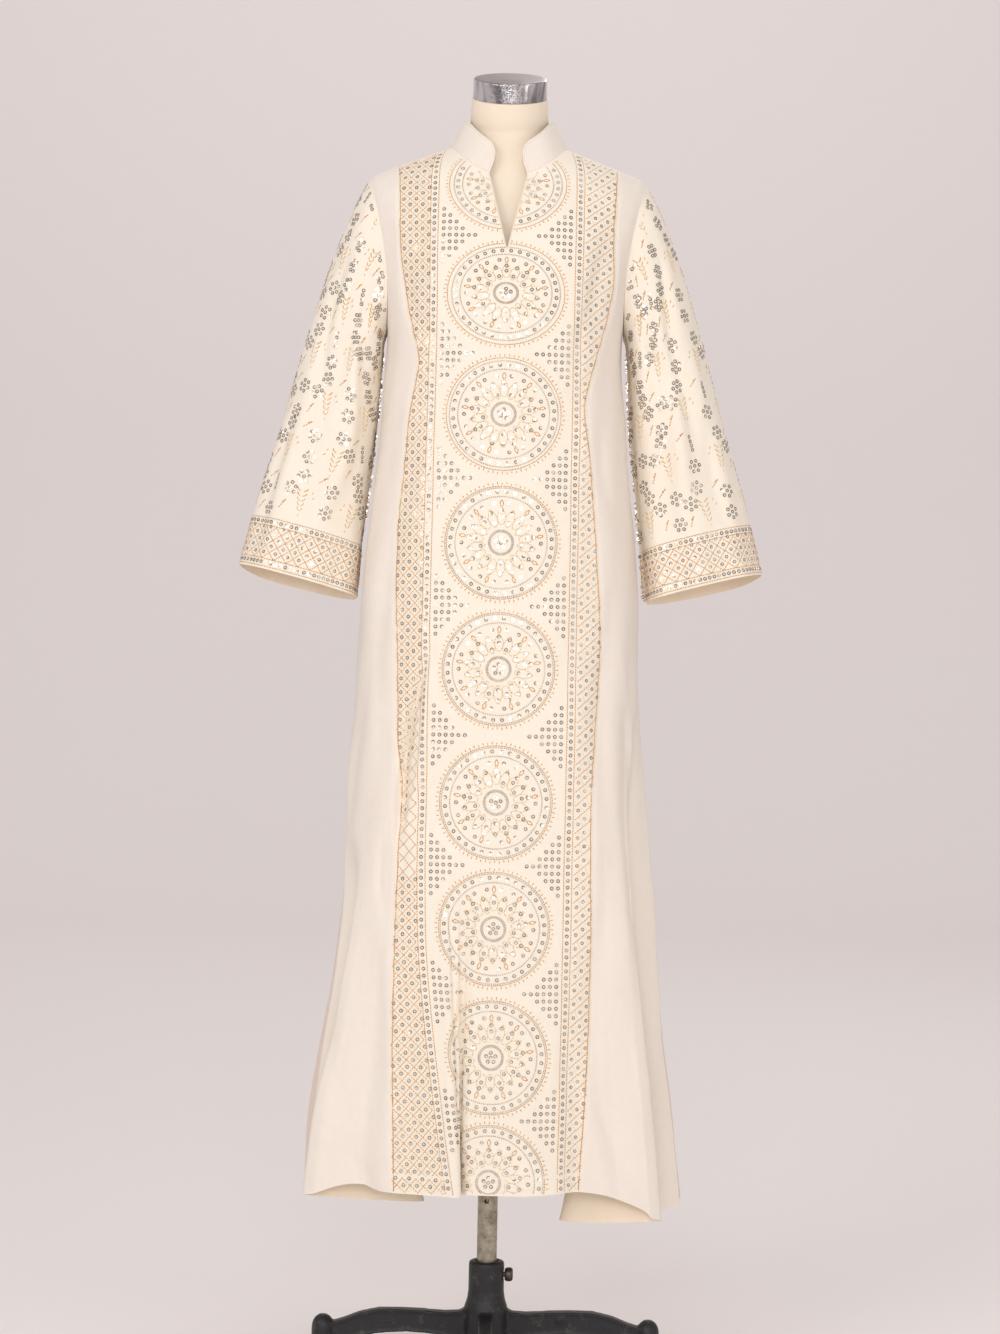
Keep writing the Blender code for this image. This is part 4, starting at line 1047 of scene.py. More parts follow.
def build_body_cloth():
    """Shells of the four body pieces, and their half grids."""
    grids = {(side, face): half_grid(side, face) for side in (-1, 1) for face in ("front", "back")}
    centre, back, made = [], [], {}
    for side, word in LEFT_RIGHT:
        angle, z, seam = grids[side, "front"]
        centre.append(block(angle, z, 0, seam))
        outer = block(angle, z, seam, angle.shape[1] - 1)
        made["side_front_" + word] = shell("side_front_%s_cloth" % word, [outer], CLOTH_WALL, plain_look)
        angle, z, seam = grids[side, "back"]
        back.append(block(angle, z, 0, angle.shape[1] - 1, from_back=True))
    made["front_centre_panel"] = shell("front_centre_cloth", centre, CLOTH_WALL, ground_look)
    made["back_panel"] = shell("back_cloth", back, CLOTH_WALL, back_painted_shade_look)
    return grids, made


def even_ring(points, count, closed):
    """The same path with evenly spaced points."""
    path = np.concatenate((points, points[:1])) if closed else points
    passed = np.concatenate(([0.0], np.cumsum(np.linalg.norm(np.diff(path, axis=0), axis=1))))
    at = np.linspace(0, passed[-1], count + 1 if closed else count)
    ring = np.stack([np.interp(at, passed, path[:, i]) for i in range(3)], axis=-1)
    return ring[:-1] if closed else ring


class SleeveCloth:
    """One bell sleeve as a fine grid: rows from the armhole to the hem, columns round from the underarm."""

    def __init__(self, side, grids):
        self.side = side
        edges = []
        for face in ("front", "back"):
            angle, z, _ = grids[side, face]
            edge = hanging(angle[:, -1], z[:, -1])
            edges.append(edge[ROWS_BELOW - 1:])
        ring = even_ring(np.concatenate((edges[0], edges[1][-2:0:-1])), SLEEVE_ROUND, True)
        low = np.clip((ARM_CLEAR_Z - ring[:, 2]) / (ARM_CLEAR_Z - UNDERARM_Z), 0.0, 1.0)
        share = np.linspace(0, 1, SLEEVE_ROWS)[:, None]
        points = self.hung(ring, share)
        points[0] = ring + np.outer(low, (side * UNDERARM_CLEARANCE, 0.0, 0.0))
        points = np.concatenate((points, points[:, :1]), axis=1)
        steps = np.linalg.norm(np.diff(points, axis=1), axis=-1)
        passed = np.concatenate((np.zeros((SLEEVE_ROWS, 1)), np.cumsum(steps, axis=1)), axis=1)
        outer = int(np.argmax(ring[:, 2]))
        across = (passed - passed[:, outer:outer + 1]) * side
        self.girth = passed[:, -1:]
        drops = np.linalg.norm(np.diff(points, axis=0), axis=-1)
        fallen = np.concatenate((np.zeros((1, points.shape[1])), np.cumsum(drops, axis=0)))
        along = fallen[-1:] - fallen
        relief = SLEEVE_CREASE_GAIN * crease_relief(across, along, SLEEVE_CREASES[side], self.girth)
        turn = 2 * math.pi * across / self.girth
        relief += 0.0006 * (np.sin(5 * turn + 21.0 * along) + 0.6 * np.sin(11 * turn - 37.0 * along + side))
        relief -= HEM_STITCH_DIP * np.exp(-((along - CUFF_TURN_UP) / 0.002) ** 2)
        relief *= np.clip(share / 0.06, 0.0, 1.0)
        outward = self.outward(points)
        self.points = points + outward * relief[..., None]
        self.flat = np.stack((across, along), axis=-1)
        self.armhole_along = along[0]
        self.armhole_across = across[0]

    def hung(self, ring, share):
        """Points of the hanging sleeve for each ring point and share down the arm."""
        start = {name: float(value) for name, value in SLEEVE_CUT.all_at(0.0).items()}
        outer = np.array((start["outer"], start["outer_z"]))
        inner = np.array((start["inner"], start["inner_z"]))
        middle, reach = (outer + inner) / 2, (outer - inner) / 2
        length = np.linalg.norm(reach)
        axis = reach / length
        sideways = np.array((axis[1], -axis[0]))
        flat = np.stack((self.side * ring[:, 0], ring[:, 2]), axis=-1) - middle
        depth = np.where(ring[:, 1] < 0, start["front"], start["back"])
        round_part = flat @ axis / length
        deep = ring[:, 1] / depth
        bulge = flat @ sideways
        turn = np.degrees(np.arctan2(-deep, round_part)) % 360
        cut = SLEEVE_CUT.all_at(share)
        reach_x = (cut["outer"] - cut["inner"]) / 2
        reach_z = (cut["outer_z"] - cut["inner_z"]) / 2
        size = np.hypot(reach_x, reach_z)
        fade = np.maximum(1 - share / 0.18, 0.0) ** 2
        swell = np.zeros((share.shape[0], ring.shape[0]))
        for fold in SLEEVE_FOLDS:
            if fold["side"] == self.side:
                offset = (turn - fold["turn"] + 180) % 360 - 180
                grow = np.maximum((share - fold["from_share"]) / (1 - fold["from_share"]), 0.0)
                swell = swell + fold["depth"] * wave(offset, fold["half_width"]) * grow
        depth = np.where(deep < 0, cut["front"], cut["back"])
        x = (cut["outer"] + cut["inner"]) / 2 + reach_x * round_part + reach_z / size * bulge * fade
        z = (cut["outer_z"] + cut["inner_z"]) / 2 + reach_z * round_part - reach_x / size * bulge * fade
        y = deep * depth + np.copysign(swell, deep) * np.abs(deep)
        lift = cut["front_lift"] * (0.4 * np.maximum(-deep, 0.0) - np.maximum(deep, 0.0))
        return np.stack((self.side * x, y, z + lift), axis=-1)

    def outward(self, points):
        closed = np.concatenate((points[:, -2:-1], points, points[:, 1:2]), axis=1)
        along = closed[:, 2:] - closed[:, :-2]
        down = np.gradient(points, axis=0)
        out = unit(np.cross(along, down))
        centre = points[:, :-1].mean(axis=1, keepdims=True)
        return out if float(np.sum(out * (points - centre))) > 0 else -out

    def place(self, flat):
        """Points for flat places: across from the outer edge, and up from the hem."""
        acrosses = self.flat[:, :, 0]
        row = np.zeros(len(flat))
        col = np.full(len(flat), SLEEVE_ROUND / 2)
        rows = np.arange(SLEEVE_ROWS)
        for _ in range(3):
            low = np.floor(np.clip(col, 0, SLEEVE_ROUND - 1e-6)).astype(int)
            part = col - low
            lengths = self.flat[:, low, 1] * (1 - part) + self.flat[:, low + 1, 1] * part
            row = np.array([np.interp(-a, -lengths[:, i], rows) for i, a in enumerate(flat[:, 1])])
            low = np.floor(np.clip(row, 0, SLEEVE_ROWS - 1 - 1e-6)).astype(int)
            part = (row - low)[:, None]
            widths = acrosses[low] * (1 - part) + acrosses[low + 1] * part
            way = 1 if widths[0, -1] > widths[0, 0] else -1
            col = np.array([np.interp(way * a, way * widths[i], np.arange(SLEEVE_ROUND + 1))
                            for i, a in enumerate(flat[:, 0])])
        return np.stack([between(self.points[:, :, i], row, col) for i in range(3)], axis=-1)


def body_place(flat):
    """Points of the finished body for flat places."""
    z = flat_body.height_at(flat[:, 1])
    return finished_body(flat_body.angle(flat[:, 0], z), z)[0]


def neckline_path(grids):
    """Neckline from the slit's left side round the back to its right side."""
    ring = []
    for side, face, outward in ((-1, "front", True), (-1, "back", False), (1, "back", True),
                                (1, "front", False)):
        angle, z, _ = grids[side, face]
        edge = hanging(angle[-1], z[-1])
        edge = edge[np.abs(edge[:, 0]) <= NECK_POINT_X + 1e-4]
        edge = edge if outward else edge[::-1]
        ring.append(edge if not ring else edge[1:])
    return even_ring(np.concatenate(ring), COLLAR_COLUMNS, False)


def collar_points(ring):
    """Rows of points up the collar band and their flat places."""
    passed = np.concatenate(([0.0], np.cumsum(np.linalg.norm(np.diff(ring, axis=0), axis=1))))
    to_end = np.minimum(passed, passed[-1] - passed)
    round_share = np.minimum(to_end / COLLAR_END_ROUND, 1.0)
    rise = COLLAR_END_SHARE + (1 - COLLAR_END_SHARE) * np.sqrt(1 - (1 - round_share) ** 2)
    height = COLLAR_HEIGHT * rise
    front = np.clip(-ring[:, 1] / COLLAR_FRONT_Y, 0.0, 1.0)
    out = np.abs(ring[:, 0]) / NECK_POINT_X
    lean_x = -np.copysign(COLLAR_LEAN_SIDE * out + COLLAR_LEAN_FRONT * front * (1 - out), ring[:, 0])
    lean_y = COLLAR_LEAN_FRONT * front - COLLAR_LEAN_BACK * np.maximum(ring[:, 1], 0.0)
    lean = unit(np.stack((lean_x, lean_y, np.ones(len(ring))), axis=-1))
    share = np.linspace(0, 1, COLLAR_ROWS)[:, None]
    points = ring[None] + lean[None] * (height * share)[..., None]
    ripple = 0.0006 * np.sin(share * math.pi) * np.sin(passed * 95.0)
    points = points + unit(ring * (1, 1, 0))[None] * ripple[..., None]
    flat = np.stack(np.broadcast_arrays(passed, height * share), axis=-1)
    return points, flat


def collar_place(flat):
    """Points of the collar for flat places: along its neckline, and up it."""
    points, places = collar_grid
    col = flat[:, 0] / places[0, -1, 0] * (points.shape[1] - 1)
    height = between(places[..., 1], np.full(len(flat), COLLAR_ROWS - 1.0), col)
    row = flat[:, 1] / height * (COLLAR_ROWS - 1)
    return np.stack([between(points[..., i], row, col) for i in range(3)], axis=-1)


def loft(name, rings, look, sharp_deg=40):
    """A closed skin through rings of points, with n-sided ends."""
    count = rings.shape[1]
    index = np.arange(rings.shape[0] * count).reshape(rings.shape[0], count)
    nxt = np.roll(index, -1, axis=1)
    faces = np.stack((index[:-1], nxt[:-1], nxt[1:], index[1:]), axis=-1).reshape(-1, 4).tolist()
    faces += [index[0][::-1].tolist(), index[-1].tolist()]
    mesh = bpy.data.meshes.new(name)
    mesh.from_pydata(rings.reshape(-1, 3).tolist(), [], faces)
    mesh.materials.append(look)
    mesh.shade_smooth()
    mesh.set_sharp_from_angle(angle=math.radians(sharp_deg))
    return placed(name, mesh)


def oval(half, front, back, squareness, count):
    turn = 2 * math.pi * np.arange(count) / count
    sine, cosine = np.sin(turn), np.cos(turn)
    power = 2 / squareness
    depth = np.where(cosine > 0, front, back)
    return half * bent(sine, power), -depth * bent(cosine, power)


def build_torso_cloth():
    """The covered torso with its neck, its flat bottom and the socket of the pole."""
    count = TORSO_COLUMNS_ROUND
    levels = np.concatenate((np.linspace(0.930, 0.938, 5), np.linspace(0.945, 1.655, 66),
                             np.linspace(1.660, 1.701, 14)))
    rings = []
    for z in levels:
        cut = {name: float(value) for name, value in TORSO_CUT.all_at(z).items()}
        x, y = oval(cut["half"], cut["front"], cut["back"], cut["squareness"], count)
        level = np.full(count, z)
        angle = angle_across(np.abs(x), 1, level)
        cloth_y = np.abs(smooth_body(np.where(y < 0, angle, 180 - angle), level)[1])
        near = np.clip(1 - (ridge_z(np.abs(x)) - z) / RIDGE_ROUND, 0.0, 1.0)
        share = TORSO_SHARE + near * (TORSO_RIDGE_SHARE - TORSO_SHARE)
        limit = share * np.maximum(cloth_y - SOLIDS_WALL, 0.0)
        open_neck = (y < 0) & (np.abs(x) < NECK_POINT_X) & (z > NECK_CUT.at("front", np.abs(x)) - 0.004)
        y = np.where(open_neck, y, np.copysign(np.minimum(np.abs(y), limit), y))
        rings.append(np.stack((x, y, level), axis=-1))
    for step in np.linspace(0, len(NECK_RINGS.knots) - 1, 17):
        cut = {name: float(value) for name, value in NECK_RINGS.all_at(step).items()}
        x, y = oval(cut["across"], cut["deep"], cut["deep"], 2.0, count)
        z = cut["z"] + y * math.tan(math.radians(cut["tilt"]))
        rings.append(np.stack((x, cut["y"] + y, z), axis=-1))
    rings = np.stack(rings)
    for _ in range(NECK_ROOT_ROUNDS):
        rows = slice(NECK_ROOT_ROW, -8)
        middle = (rings[NECK_ROOT_ROW - 1:-9] + 2 * rings[rows] + rings[NECK_ROOT_ROW + 1:-7]) / 4
        in_front = np.clip(-rings[rows][..., 1:2] / 0.030, 0.0, 1.0)
        rings[rows] += (middle - rings[rows]) * in_front
    turn = 2 * math.pi * np.arange(count) / count
    circle = np.stack((np.sin(turn), -np.cos(turn)), axis=-1) * (POLE_RADIUS + FIT_GAP)
    socket_ends = (POLE_TOP_Z + FIT_GAP, float(TORSO_CUT.knots[0]))
    socket = [np.column_stack((circle, np.full(count, z))) for z in socket_ends]
    shallow = [rings[0] * (s, s, 1) for s in (0.55, 0.96)]
    return loft("form_torso_cloth", np.concatenate((socket, shallow, rings)), form_look, 65)


def turned_skin(name, profile, steps, look):
    """A closed skin turned about Z from radius and height pairs, bottom to top."""
    turn = 2 * math.pi * np.arange(steps) / steps
    rings = [np.stack((r * np.cos(turn), r * np.sin(turn), np.full(steps, z)), axis=-1) for r, z in profile]
    return loft(name, np.stack(rings), look)


def build_cap():
    """Cap with a small round upper edge, tilted with the neck."""
    profile = [(CAP_RADIUS - 0.0006, FIT_GAP), (CAP_RADIUS, FIT_GAP + 0.0006), (CAP_RADIUS, 0.010)]
    profile += [(CAP_RADIUS, 0.020)]
    for t in np.radians(np.linspace(0, 90, 7)):
        profile.append((CAP_RADIUS - CAP_EDGE + CAP_EDGE * math.cos(t),
                        CAP_HEIGHT - CAP_EDGE + CAP_EDGE * math.sin(t)))
    profile += [(CAP_RADIUS - 0.008, CAP_HEIGHT), (0.020, CAP_HEIGHT + 0.0004), (0.004, CAP_HEIGHT + 0.0005)]
    cap = turned_skin("neck_cap_chrome", profile, 96, cap_look)
    cap.data.transform(Matrix.Translation((0.0, NECK_TOP_Y, NECK_TOP_Z))
                       @ Matrix.Rotation(math.radians(NECK_TILT_DEG), 4, "X"))
    return cap


def build_pole():
    """Worn tube with a small pin hole in its front."""
    steps, radius = 64, POLE_RADIUS - 0.00005
    heights = [POLE_BOTTOM_Z, POLE_BOTTOM_Z + 0.001, PIN_HOLE_Z - 0.006]
    heights += list(PIN_HOLE_Z + np.linspace(-0.0045, 0.0045, 13))
    heights += [PIN_HOLE_Z + 0.006] + list(np.linspace(0.27, POLE_TOP_Z - 0.002, 12))
    heights += [POLE_TOP_Z - 0.001, POLE_TOP_Z]
    rings = []
    for index, z in enumerate(heights):
        turn = 2 * math.pi * np.arange(steps) / steps
        at_end = index in (0, len(heights) - 1)
        x, y = np.cos(turn), np.sin(turn)
        away = np.hypot(x * radius - PIN_HOLE_X, z - PIN_HOLE_Z)
        sunk = np.where((y < 0) & (away < PIN_HOLE_RADIUS), PIN_HOLE_DEPTH, 0.0)
        reach = radius - (0.001 if at_end else 0.0) - sunk
        rings.append(np.stack((x * reach, y * reach, np.full(steps, z)), axis=-1))
    return loft("pole_tube", np.stack(rings), pole_look)


def build_base():
    """The casting's own shape with soft cast edges and a slightly uneven skin."""
    node = frame["nodes"]["base_casting"]
    bpy.context.view_layer.update()
    mesh = bpy.data.meshes.new_from_object(node.evaluated_get(bpy.context.evaluated_depsgraph_get()))
    mesh.transform(node.matrix_world)
    casting = placed("base_casting_iron", mesh)
    weld = casting.modifiers.new("Weld", "WELD")
    weld.merge_threshold = 0.00001
    remesh = casting.modifiers.new("Skin", "REMESH")
    remesh.mode = "VOXEL"
    remesh.voxel_size = CAST_VOXEL
    soften = casting.modifiers.new("Soften", "SMOOTH")
    soften.factor = 0.5
    soften.iterations = 4
    casting = made_plain(casting)
    count = len(casting.data.vertices)
    points = np.empty(count * 3)
    casting.data.vertices.foreach_get("co", points)
    points = points.reshape(-1, 3)
    reach = np.hypot(points[:, 0], points[:, 1])
    bore = (reach < HUB_BORE_REACH) & (points[:, 2] > HUB_BORE_FLOOR_Z)
    open_reach = np.where(bore, np.maximum(reach, POLE_RADIUS + 0.0002), reach)
    points[:, :2] *= (open_reach / np.maximum(reach, 1e-9))[:, None]
    lump = np.exp(-np.sum(((points - CAST_LUMP) / CAST_LUMP_REACH) ** 2, axis=1))
    points[:, 1] -= CAST_LUMP_HEIGHT * lump
    points[:, 2] = np.maximum(points[:, 2], 0.0)
    casting.data.vertices.foreach_set("co", points.reshape(-1))
    casting.data.shade_smooth()
    casting.data.materials.clear()
    casting.data.materials.append(iron_look)
    return casting


def build_screw():
    """Round slotted screw head on its stem, turned about X."""
    stem, head = SCREW_STEM_RADIUS, SCREW_HEAD_RADIUS
    head_in, head_out = HUB_RADIUS + FIT_GAP, HUB_RADIUS + SCREW_HEAD_LENGTH
    profile = [(stem - 0.0009, POLE_RADIUS + FIT_GAP), (stem - 0.0003, POLE_RADIUS + 0.0012),
               (stem - 0.0003, head_in), (head - 0.0024, head_in + 0.0003),
               (head - 0.0006, head_in + 0.0022), (head, head_out - 0.0058),
               (head - 0.0003, head_out - 0.0026), (head - 0.0018, head_out - 0.0007)]
    profile += [(r, head_out) for r in (0.0064, 0.0052, 0.0040, 0.0028, 0.0016, 0.0005)]
    screw = turned_skin("set_screw_head", profile, 48, screw_look)
    for vertex in screw.data.vertices:
        if vertex.co.z > head_out - 0.003 and abs(vertex.co.y) < SCREW_SLOT_HALF:
            vertex.co.z -= SCREW_SLOT_DEPTH
    screw.data.transform(Matrix.Translation((0.0, 0.0, SCREW_Z)) @ Matrix.Rotation(math.pi / 2, 4, "Y"))
    return screw


class Design:
    """Embroidery drawn flat: marks of one kind are places with a heading and a size."""

    def __init__(self):
        self.marks = {kind: [] for kind in ("thread", "petal", "tick", "fine", "seam", "sequin", "bead")}

    def put(self, kind, places, headings, size=1.0):
        places = np.asarray(places, dtype=float).reshape(-1, 2)
        headings = np.broadcast_to(np.asarray(headings, dtype=float), (len(places),))
        sizes = np.full(len(places), size)
        self.marks[kind].append(np.column_stack((places, headings, sizes)))

    def line(self, kind, path, pitch=STITCH_PITCH, size=1.0):
        """Marks at even steps along a path."""
        path = np.asarray(path, dtype=float)
        steps = np.diff(path, axis=0)
        lengths = np.linalg.norm(steps, axis=1)
        passed = np.concatenate(([0.0], np.cumsum(lengths)))
        count = max(int(round(passed[-1] / pitch)), 1)
        at = (np.arange(count) + 0.5) * passed[-1] / count
        which = np.clip(np.searchsorted(passed, at, side="right") - 1, 0, len(steps) - 1)
        places = np.stack([np.interp(at, passed, path[:, i]) for i in (0, 1)], axis=-1)
        self.put(kind, places, np.arctan2(steps[which, 1], steps[which, 0]), size)

    def ring(self, kind, centre, radius, pitch, start=0.0):
        count = max(int(round(2 * math.pi * radius / pitch)), 3)
        turn = start + 2 * math.pi * np.arange(count) / count
        places = np.stack((centre[0] + radius * np.cos(turn), centre[1] + radius * np.sin(turn)), axis=-1)
        self.put(kind, places, turn + math.pi / 2)

    def spot(self, kind, centre, radius, turn_deg):
        self.put(kind, [around(centre, radius, turn_deg)], math.radians(turn_deg))

    def leaf(self, kind, base, tip, width, pitch):
        """A pointed leaf outline from its base to its tip."""
        base, tip = np.asarray(base, dtype=float), np.asarray(tip, dtype=float)
        step = tip - base
        aside = np.array((-step[1], step[0])) / max(float(np.linalg.norm(step)), 1e-9)
        share = np.linspace(0, 1, 9)[:, None]
        swell = np.sin(math.pi * share ** 0.85) ** 0.9 * width / 2
        for way in (1, -1):
            self.line(kind, base + step * share + way * aside * swell, pitch)

    def add(self, other, centre, squash):
        """Another design's marks about this centre, squashed along the cloth."""
        for kind, groups in other.marks.items():
            for group in groups:
                marks = group.copy()
                marks[:, :2] = marks[:, :2] * (1.0, squash) + centre
                marks[:, 2] = np.arctan2(np.sin(marks[:, 2]) * squash, np.cos(marks[:, 2]))
                self.marks[kind].append(marks)

    def all_of(self, kind):
        return np.concatenate(self.marks[kind]) if self.marks[kind] else np.zeros((0, 4))


def around(centre, radius, turn_deg):
    turn = math.radians(turn_deg)
    return (centre[0] + radius * math.cos(turn), centre[1] + radius * math.sin(turn))


def draw_medallion(ring):
    """A round mandala: a ringed row of sequins, petals and a beaded middle, nine spokes in all."""
    design, centre = Design(), (0.0, 0.0)
    design.ring("thread", centre, ring, STITCH_PITCH)
    for number, turn in enumerate(np.arange(0, 360, RAY_STEP_DEG)):
        end = ring + RAY_TIPS[number % 2]
        design.line("tick", (around(centre, ring + RAY_FOOT, turn), around(centre, end, turn)), RAY_PITCH)
    design.ring("bead", centre, RING_BEADS_OUTER, RING_BEAD_PITCH)
    design.ring("sequin", centre, RING_SEQUINS, 2 * math.pi * RING_SEQUINS / RING_SEQUIN_COUNT, start=0.09)
    design.ring("bead", centre, RING_BEADS_INNER, RING_BEAD_PITCH)
    for spoke in range(SPOKES):
        turn = 90 + spoke * SECTOR_DEG
        for radius, away in SECTOR_SEQUINS:
            design.spot("sequin", centre, radius, turn + away)
        for kind, foot, tip, away, width, pitch in SECTOR_LEAVES:
            ends = (around(centre, end, turn + away) for end in (foot, tip))
            design.leaf(kind, *ends, width, pitch)
    for radius in (HUB_BEADS_OUTER, HUB_BEADS_INNER):
        design.ring("bead", centre, radius, HUB_BEAD_PITCH)
    design.spot("sequin", centre, 0.0, 0)
    for turn in np.arange(0, 360, 72.0):
        design.spot("sequin", centre, HUB_SEQUINS, turn + 18)
    return design


def draw_front():
    """Everything on the centre front, in metres across from its centre line and up it."""
    design = Design()
    centres = []
    for medallion in MEDALLIONS:
        along = float(flat_body.along_at(medallion["z"]))
        centres.append(along)
        design.add(draw_medallion(medallion["ring"]), (0.0, along), medallion["squash"])
    gaps = [(a + b) / 2 for a, b in zip(centres[:-1], centres[1:])]
    low, high = FRONT_LENGTH
    for side in (-1, 1):
        for x in BORDER_THREADS:
            design.line("thread", ((side * x, low), (side * x, high)))
        rows = np.arange(low, high, BORDER_SEQUIN_PITCH)
        design.put("sequin", np.column_stack((np.full(len(rows), side * BORDER_SEQUINS), rows)), math.pi / 2)
        for gap in gaps:
            for x, count in TRIANGLE_COLUMNS:
                rows = gap + (np.arange(count) - (count - 1) / 2) * TRIANGLE_PITCH
                design.put("sequin", np.column_stack((np.full(count, side * x), rows)), math.pi / 2)
        draw_lattice(design, side, low, high)
        seam = SEAM_PLACES[side] - side * SEAM_LINE_INSET
        design.line("thread", np.column_stack((seam, flat_body.along_at(SEAM_LEVELS))), size=SEAM_LINE_SIZE)
    return design


def in_fold(across, along):
    """Marks of the left lattice that the soft fold beside the border hides."""
    z = flat_body.height_at(along)
    return (across < np.interp(z, FOLD_EDGE_Z, FOLD_EDGE)) & (z > FOLD_EDGE_Z[0])


def draw_lattice(design, side, low, high):
    """Outside the border lines: diamonds on the left, and slanting lines with short bars on the right."""
    start, end = LATTICE_START, LATTICE_END
    step = LATTICE_PITCH / 2
    alongs = np.arange(low - 3 * LATTICE_PITCH, high + 3 * LATTICE_PITCH, LATTICE_PITCH)
    if side > 0:
        for along in alongs:
            lower = along + LATTICE_RISE * (end - start)
            design.line("thread", ((start, along), (end, lower)))
            for number in range(LATTICE_BARS):
                x = start + (number + 0.5) * step
                design.put("sequin", [(x, along + LATTICE_RISE * (x - start) + step)], 0.0, SMALL_SEQUIN)
                bar = x + step / 2
                lower = along + LATTICE_RISE * (bar - start)
                upper = lower + LATTICE_PITCH
                design.line("fine", ((bar + 0.003, lower + 0.003), (bar - 0.003, upper - 0.003)), 0.0034)
        return
    for rise in (-1, 1):
        for along in alongs:
            design.line("thread", ((-start, along), (-end, along + rise * (end - start))))
    for number, x in enumerate(np.arange(start, end, step)):
        rows = alongs + (1 - number % 2) * step
        rows = rows[~in_fold(x, rows)]
        design.put("sequin", np.column_stack((np.full(len(rows), -x), rows)), math.pi / 2)
        for row in rows:
            reach = step * 0.56
            loop = ((x - reach, row), (x, row + reach), (x + reach, row), (x, row - reach), (x - reach, row))
            design.line("fine", [(-a, b) for a, b in loop], 0.0036, 0.8)


def draw_slit():
    """Fine stitching along the edges of the neck slit."""
    design = Design()
    heights = np.linspace(SLIT_APEX_Z - 0.001, SLIT_TOP_Z, 40)
    for side in (-1, 1):
        angle = side * angle_across(slit_half(heights) + 0.0012, side, heights)
        edge = np.column_stack((flat_body.across(angle, heights), flat_body.along_at(heights)))
        design.line("fine", edge, 0.0032)
    return design


def draw_collar(length):
    """Topstitching a little inside the band's edge."""
    design = Design()
    inside, end_height = COLLAR_STITCH_INSET, COLLAR_HEIGHT * COLLAR_END_SHARE
    rise, width = COLLAR_HEIGHT - inside - end_height, COLLAR_END_ROUND - inside
    turn = np.radians(np.linspace(0, 90, 9))
    ends = [(inside + width * (1 - math.cos(t)), end_height + rise * math.sin(t)) for t in turn]
    path = [(inside, 0.002)] + ends + [(length - x, y) for x, y in ends[::-1]] + [(length - inside, 0.002)]
    design.line("seam", path, 0.0030)
    design.line("seam", ((0.002, 0.0016), (length - 0.002, 0.0016)), 0.0030)
    return design


def on_front(marks, reach):
    """Marks that lie on the centre front panel, away from its seams, neckline, slit and hem."""
    across, along = marks[:, 0], marks[:, 1]
    z = flat_body.height_at(along)
    left, right = (np.interp(z, SEAM_LEVELS, SEAM_PLACES[side]) for side in (-1, 1))
    kept = (across > left + SEAM_MARGIN + reach) & (across < right - SEAM_MARGIN - reach)
    x = np.abs(smooth_body(flat_body.angle(across, z), z)[0])
    kept &= z < NECK_CUT.at("front", x) - NECK_MARGIN - reach
    kept &= z < ridge_z(x) - RIDGE_MARGIN - reach
    kept &= (z < SLIT_APEX_Z - NECK_MARGIN - reach) | (x > slit_half(z) + EDGE_MARGIN + reach)
    kept &= z > HEM.at("z", flat_body.angle(across, z)) + EDGE_MARGIN + reach
    return marks[kept]


def draw_flower(design, centre, turn):
    design.spot("sequin", centre, 0.0, 0)
    for step in range(6):
        design.spot("sequin", centre, FLOWER_RADIUS, turn + 60 * step)


def draw_cluster(design, centre, lean):
    """Two flowers over a tail of small leaf pairs that narrows to its point."""
    x, y = centre
    draw_flower(design, (x - 0.004 * lean, y + 0.024), 12)
    draw_flower(design, (x - 0.018 * lean, y + 0.004), 22)
    design.put("petal", [(x + 0.016 * lean, y + 0.004)], 1.1, 1.5)
    design.put("petal", [(x + 0.019 * lean, y - 0.003)], 0.8, 1.5)
    for level in range(5):
        up = 0.004 - 0.0068 * level
        reach = 0.0072 - 0.0010 * level
        middle = x + 0.0008 * lean * level
        for side in (-1, 1):
            design.put("petal", [(middle + side * reach * 0.55, y + up)], math.atan2(0.8, side),
                       1.75 - 0.14 * level)
            design.put("tick", [(middle + side * reach, y + up + 0.0024)], math.atan2(1.0, side * 0.5),
                       1.2 - 0.1 * level)
    design.put("tick", [(x + 0.004 * lean, y - 0.0305)], math.pi / 2, 0.8)


def draw_string(design, centre):
    x, y = centre
    for step in range(4):
        design.spot("sequin", (x + 0.0006 * step, y + 0.009 - 0.0062 * step), 0.0, 0)


def draw_stroke(design, centre, turn):
    design.line("tick", (around(centre, 0.008, turn), around(centre, -0.008, turn)))
    design.line("tick", (around(centre, 0.008, turn), around(centre, 0.002, turn + 60)))


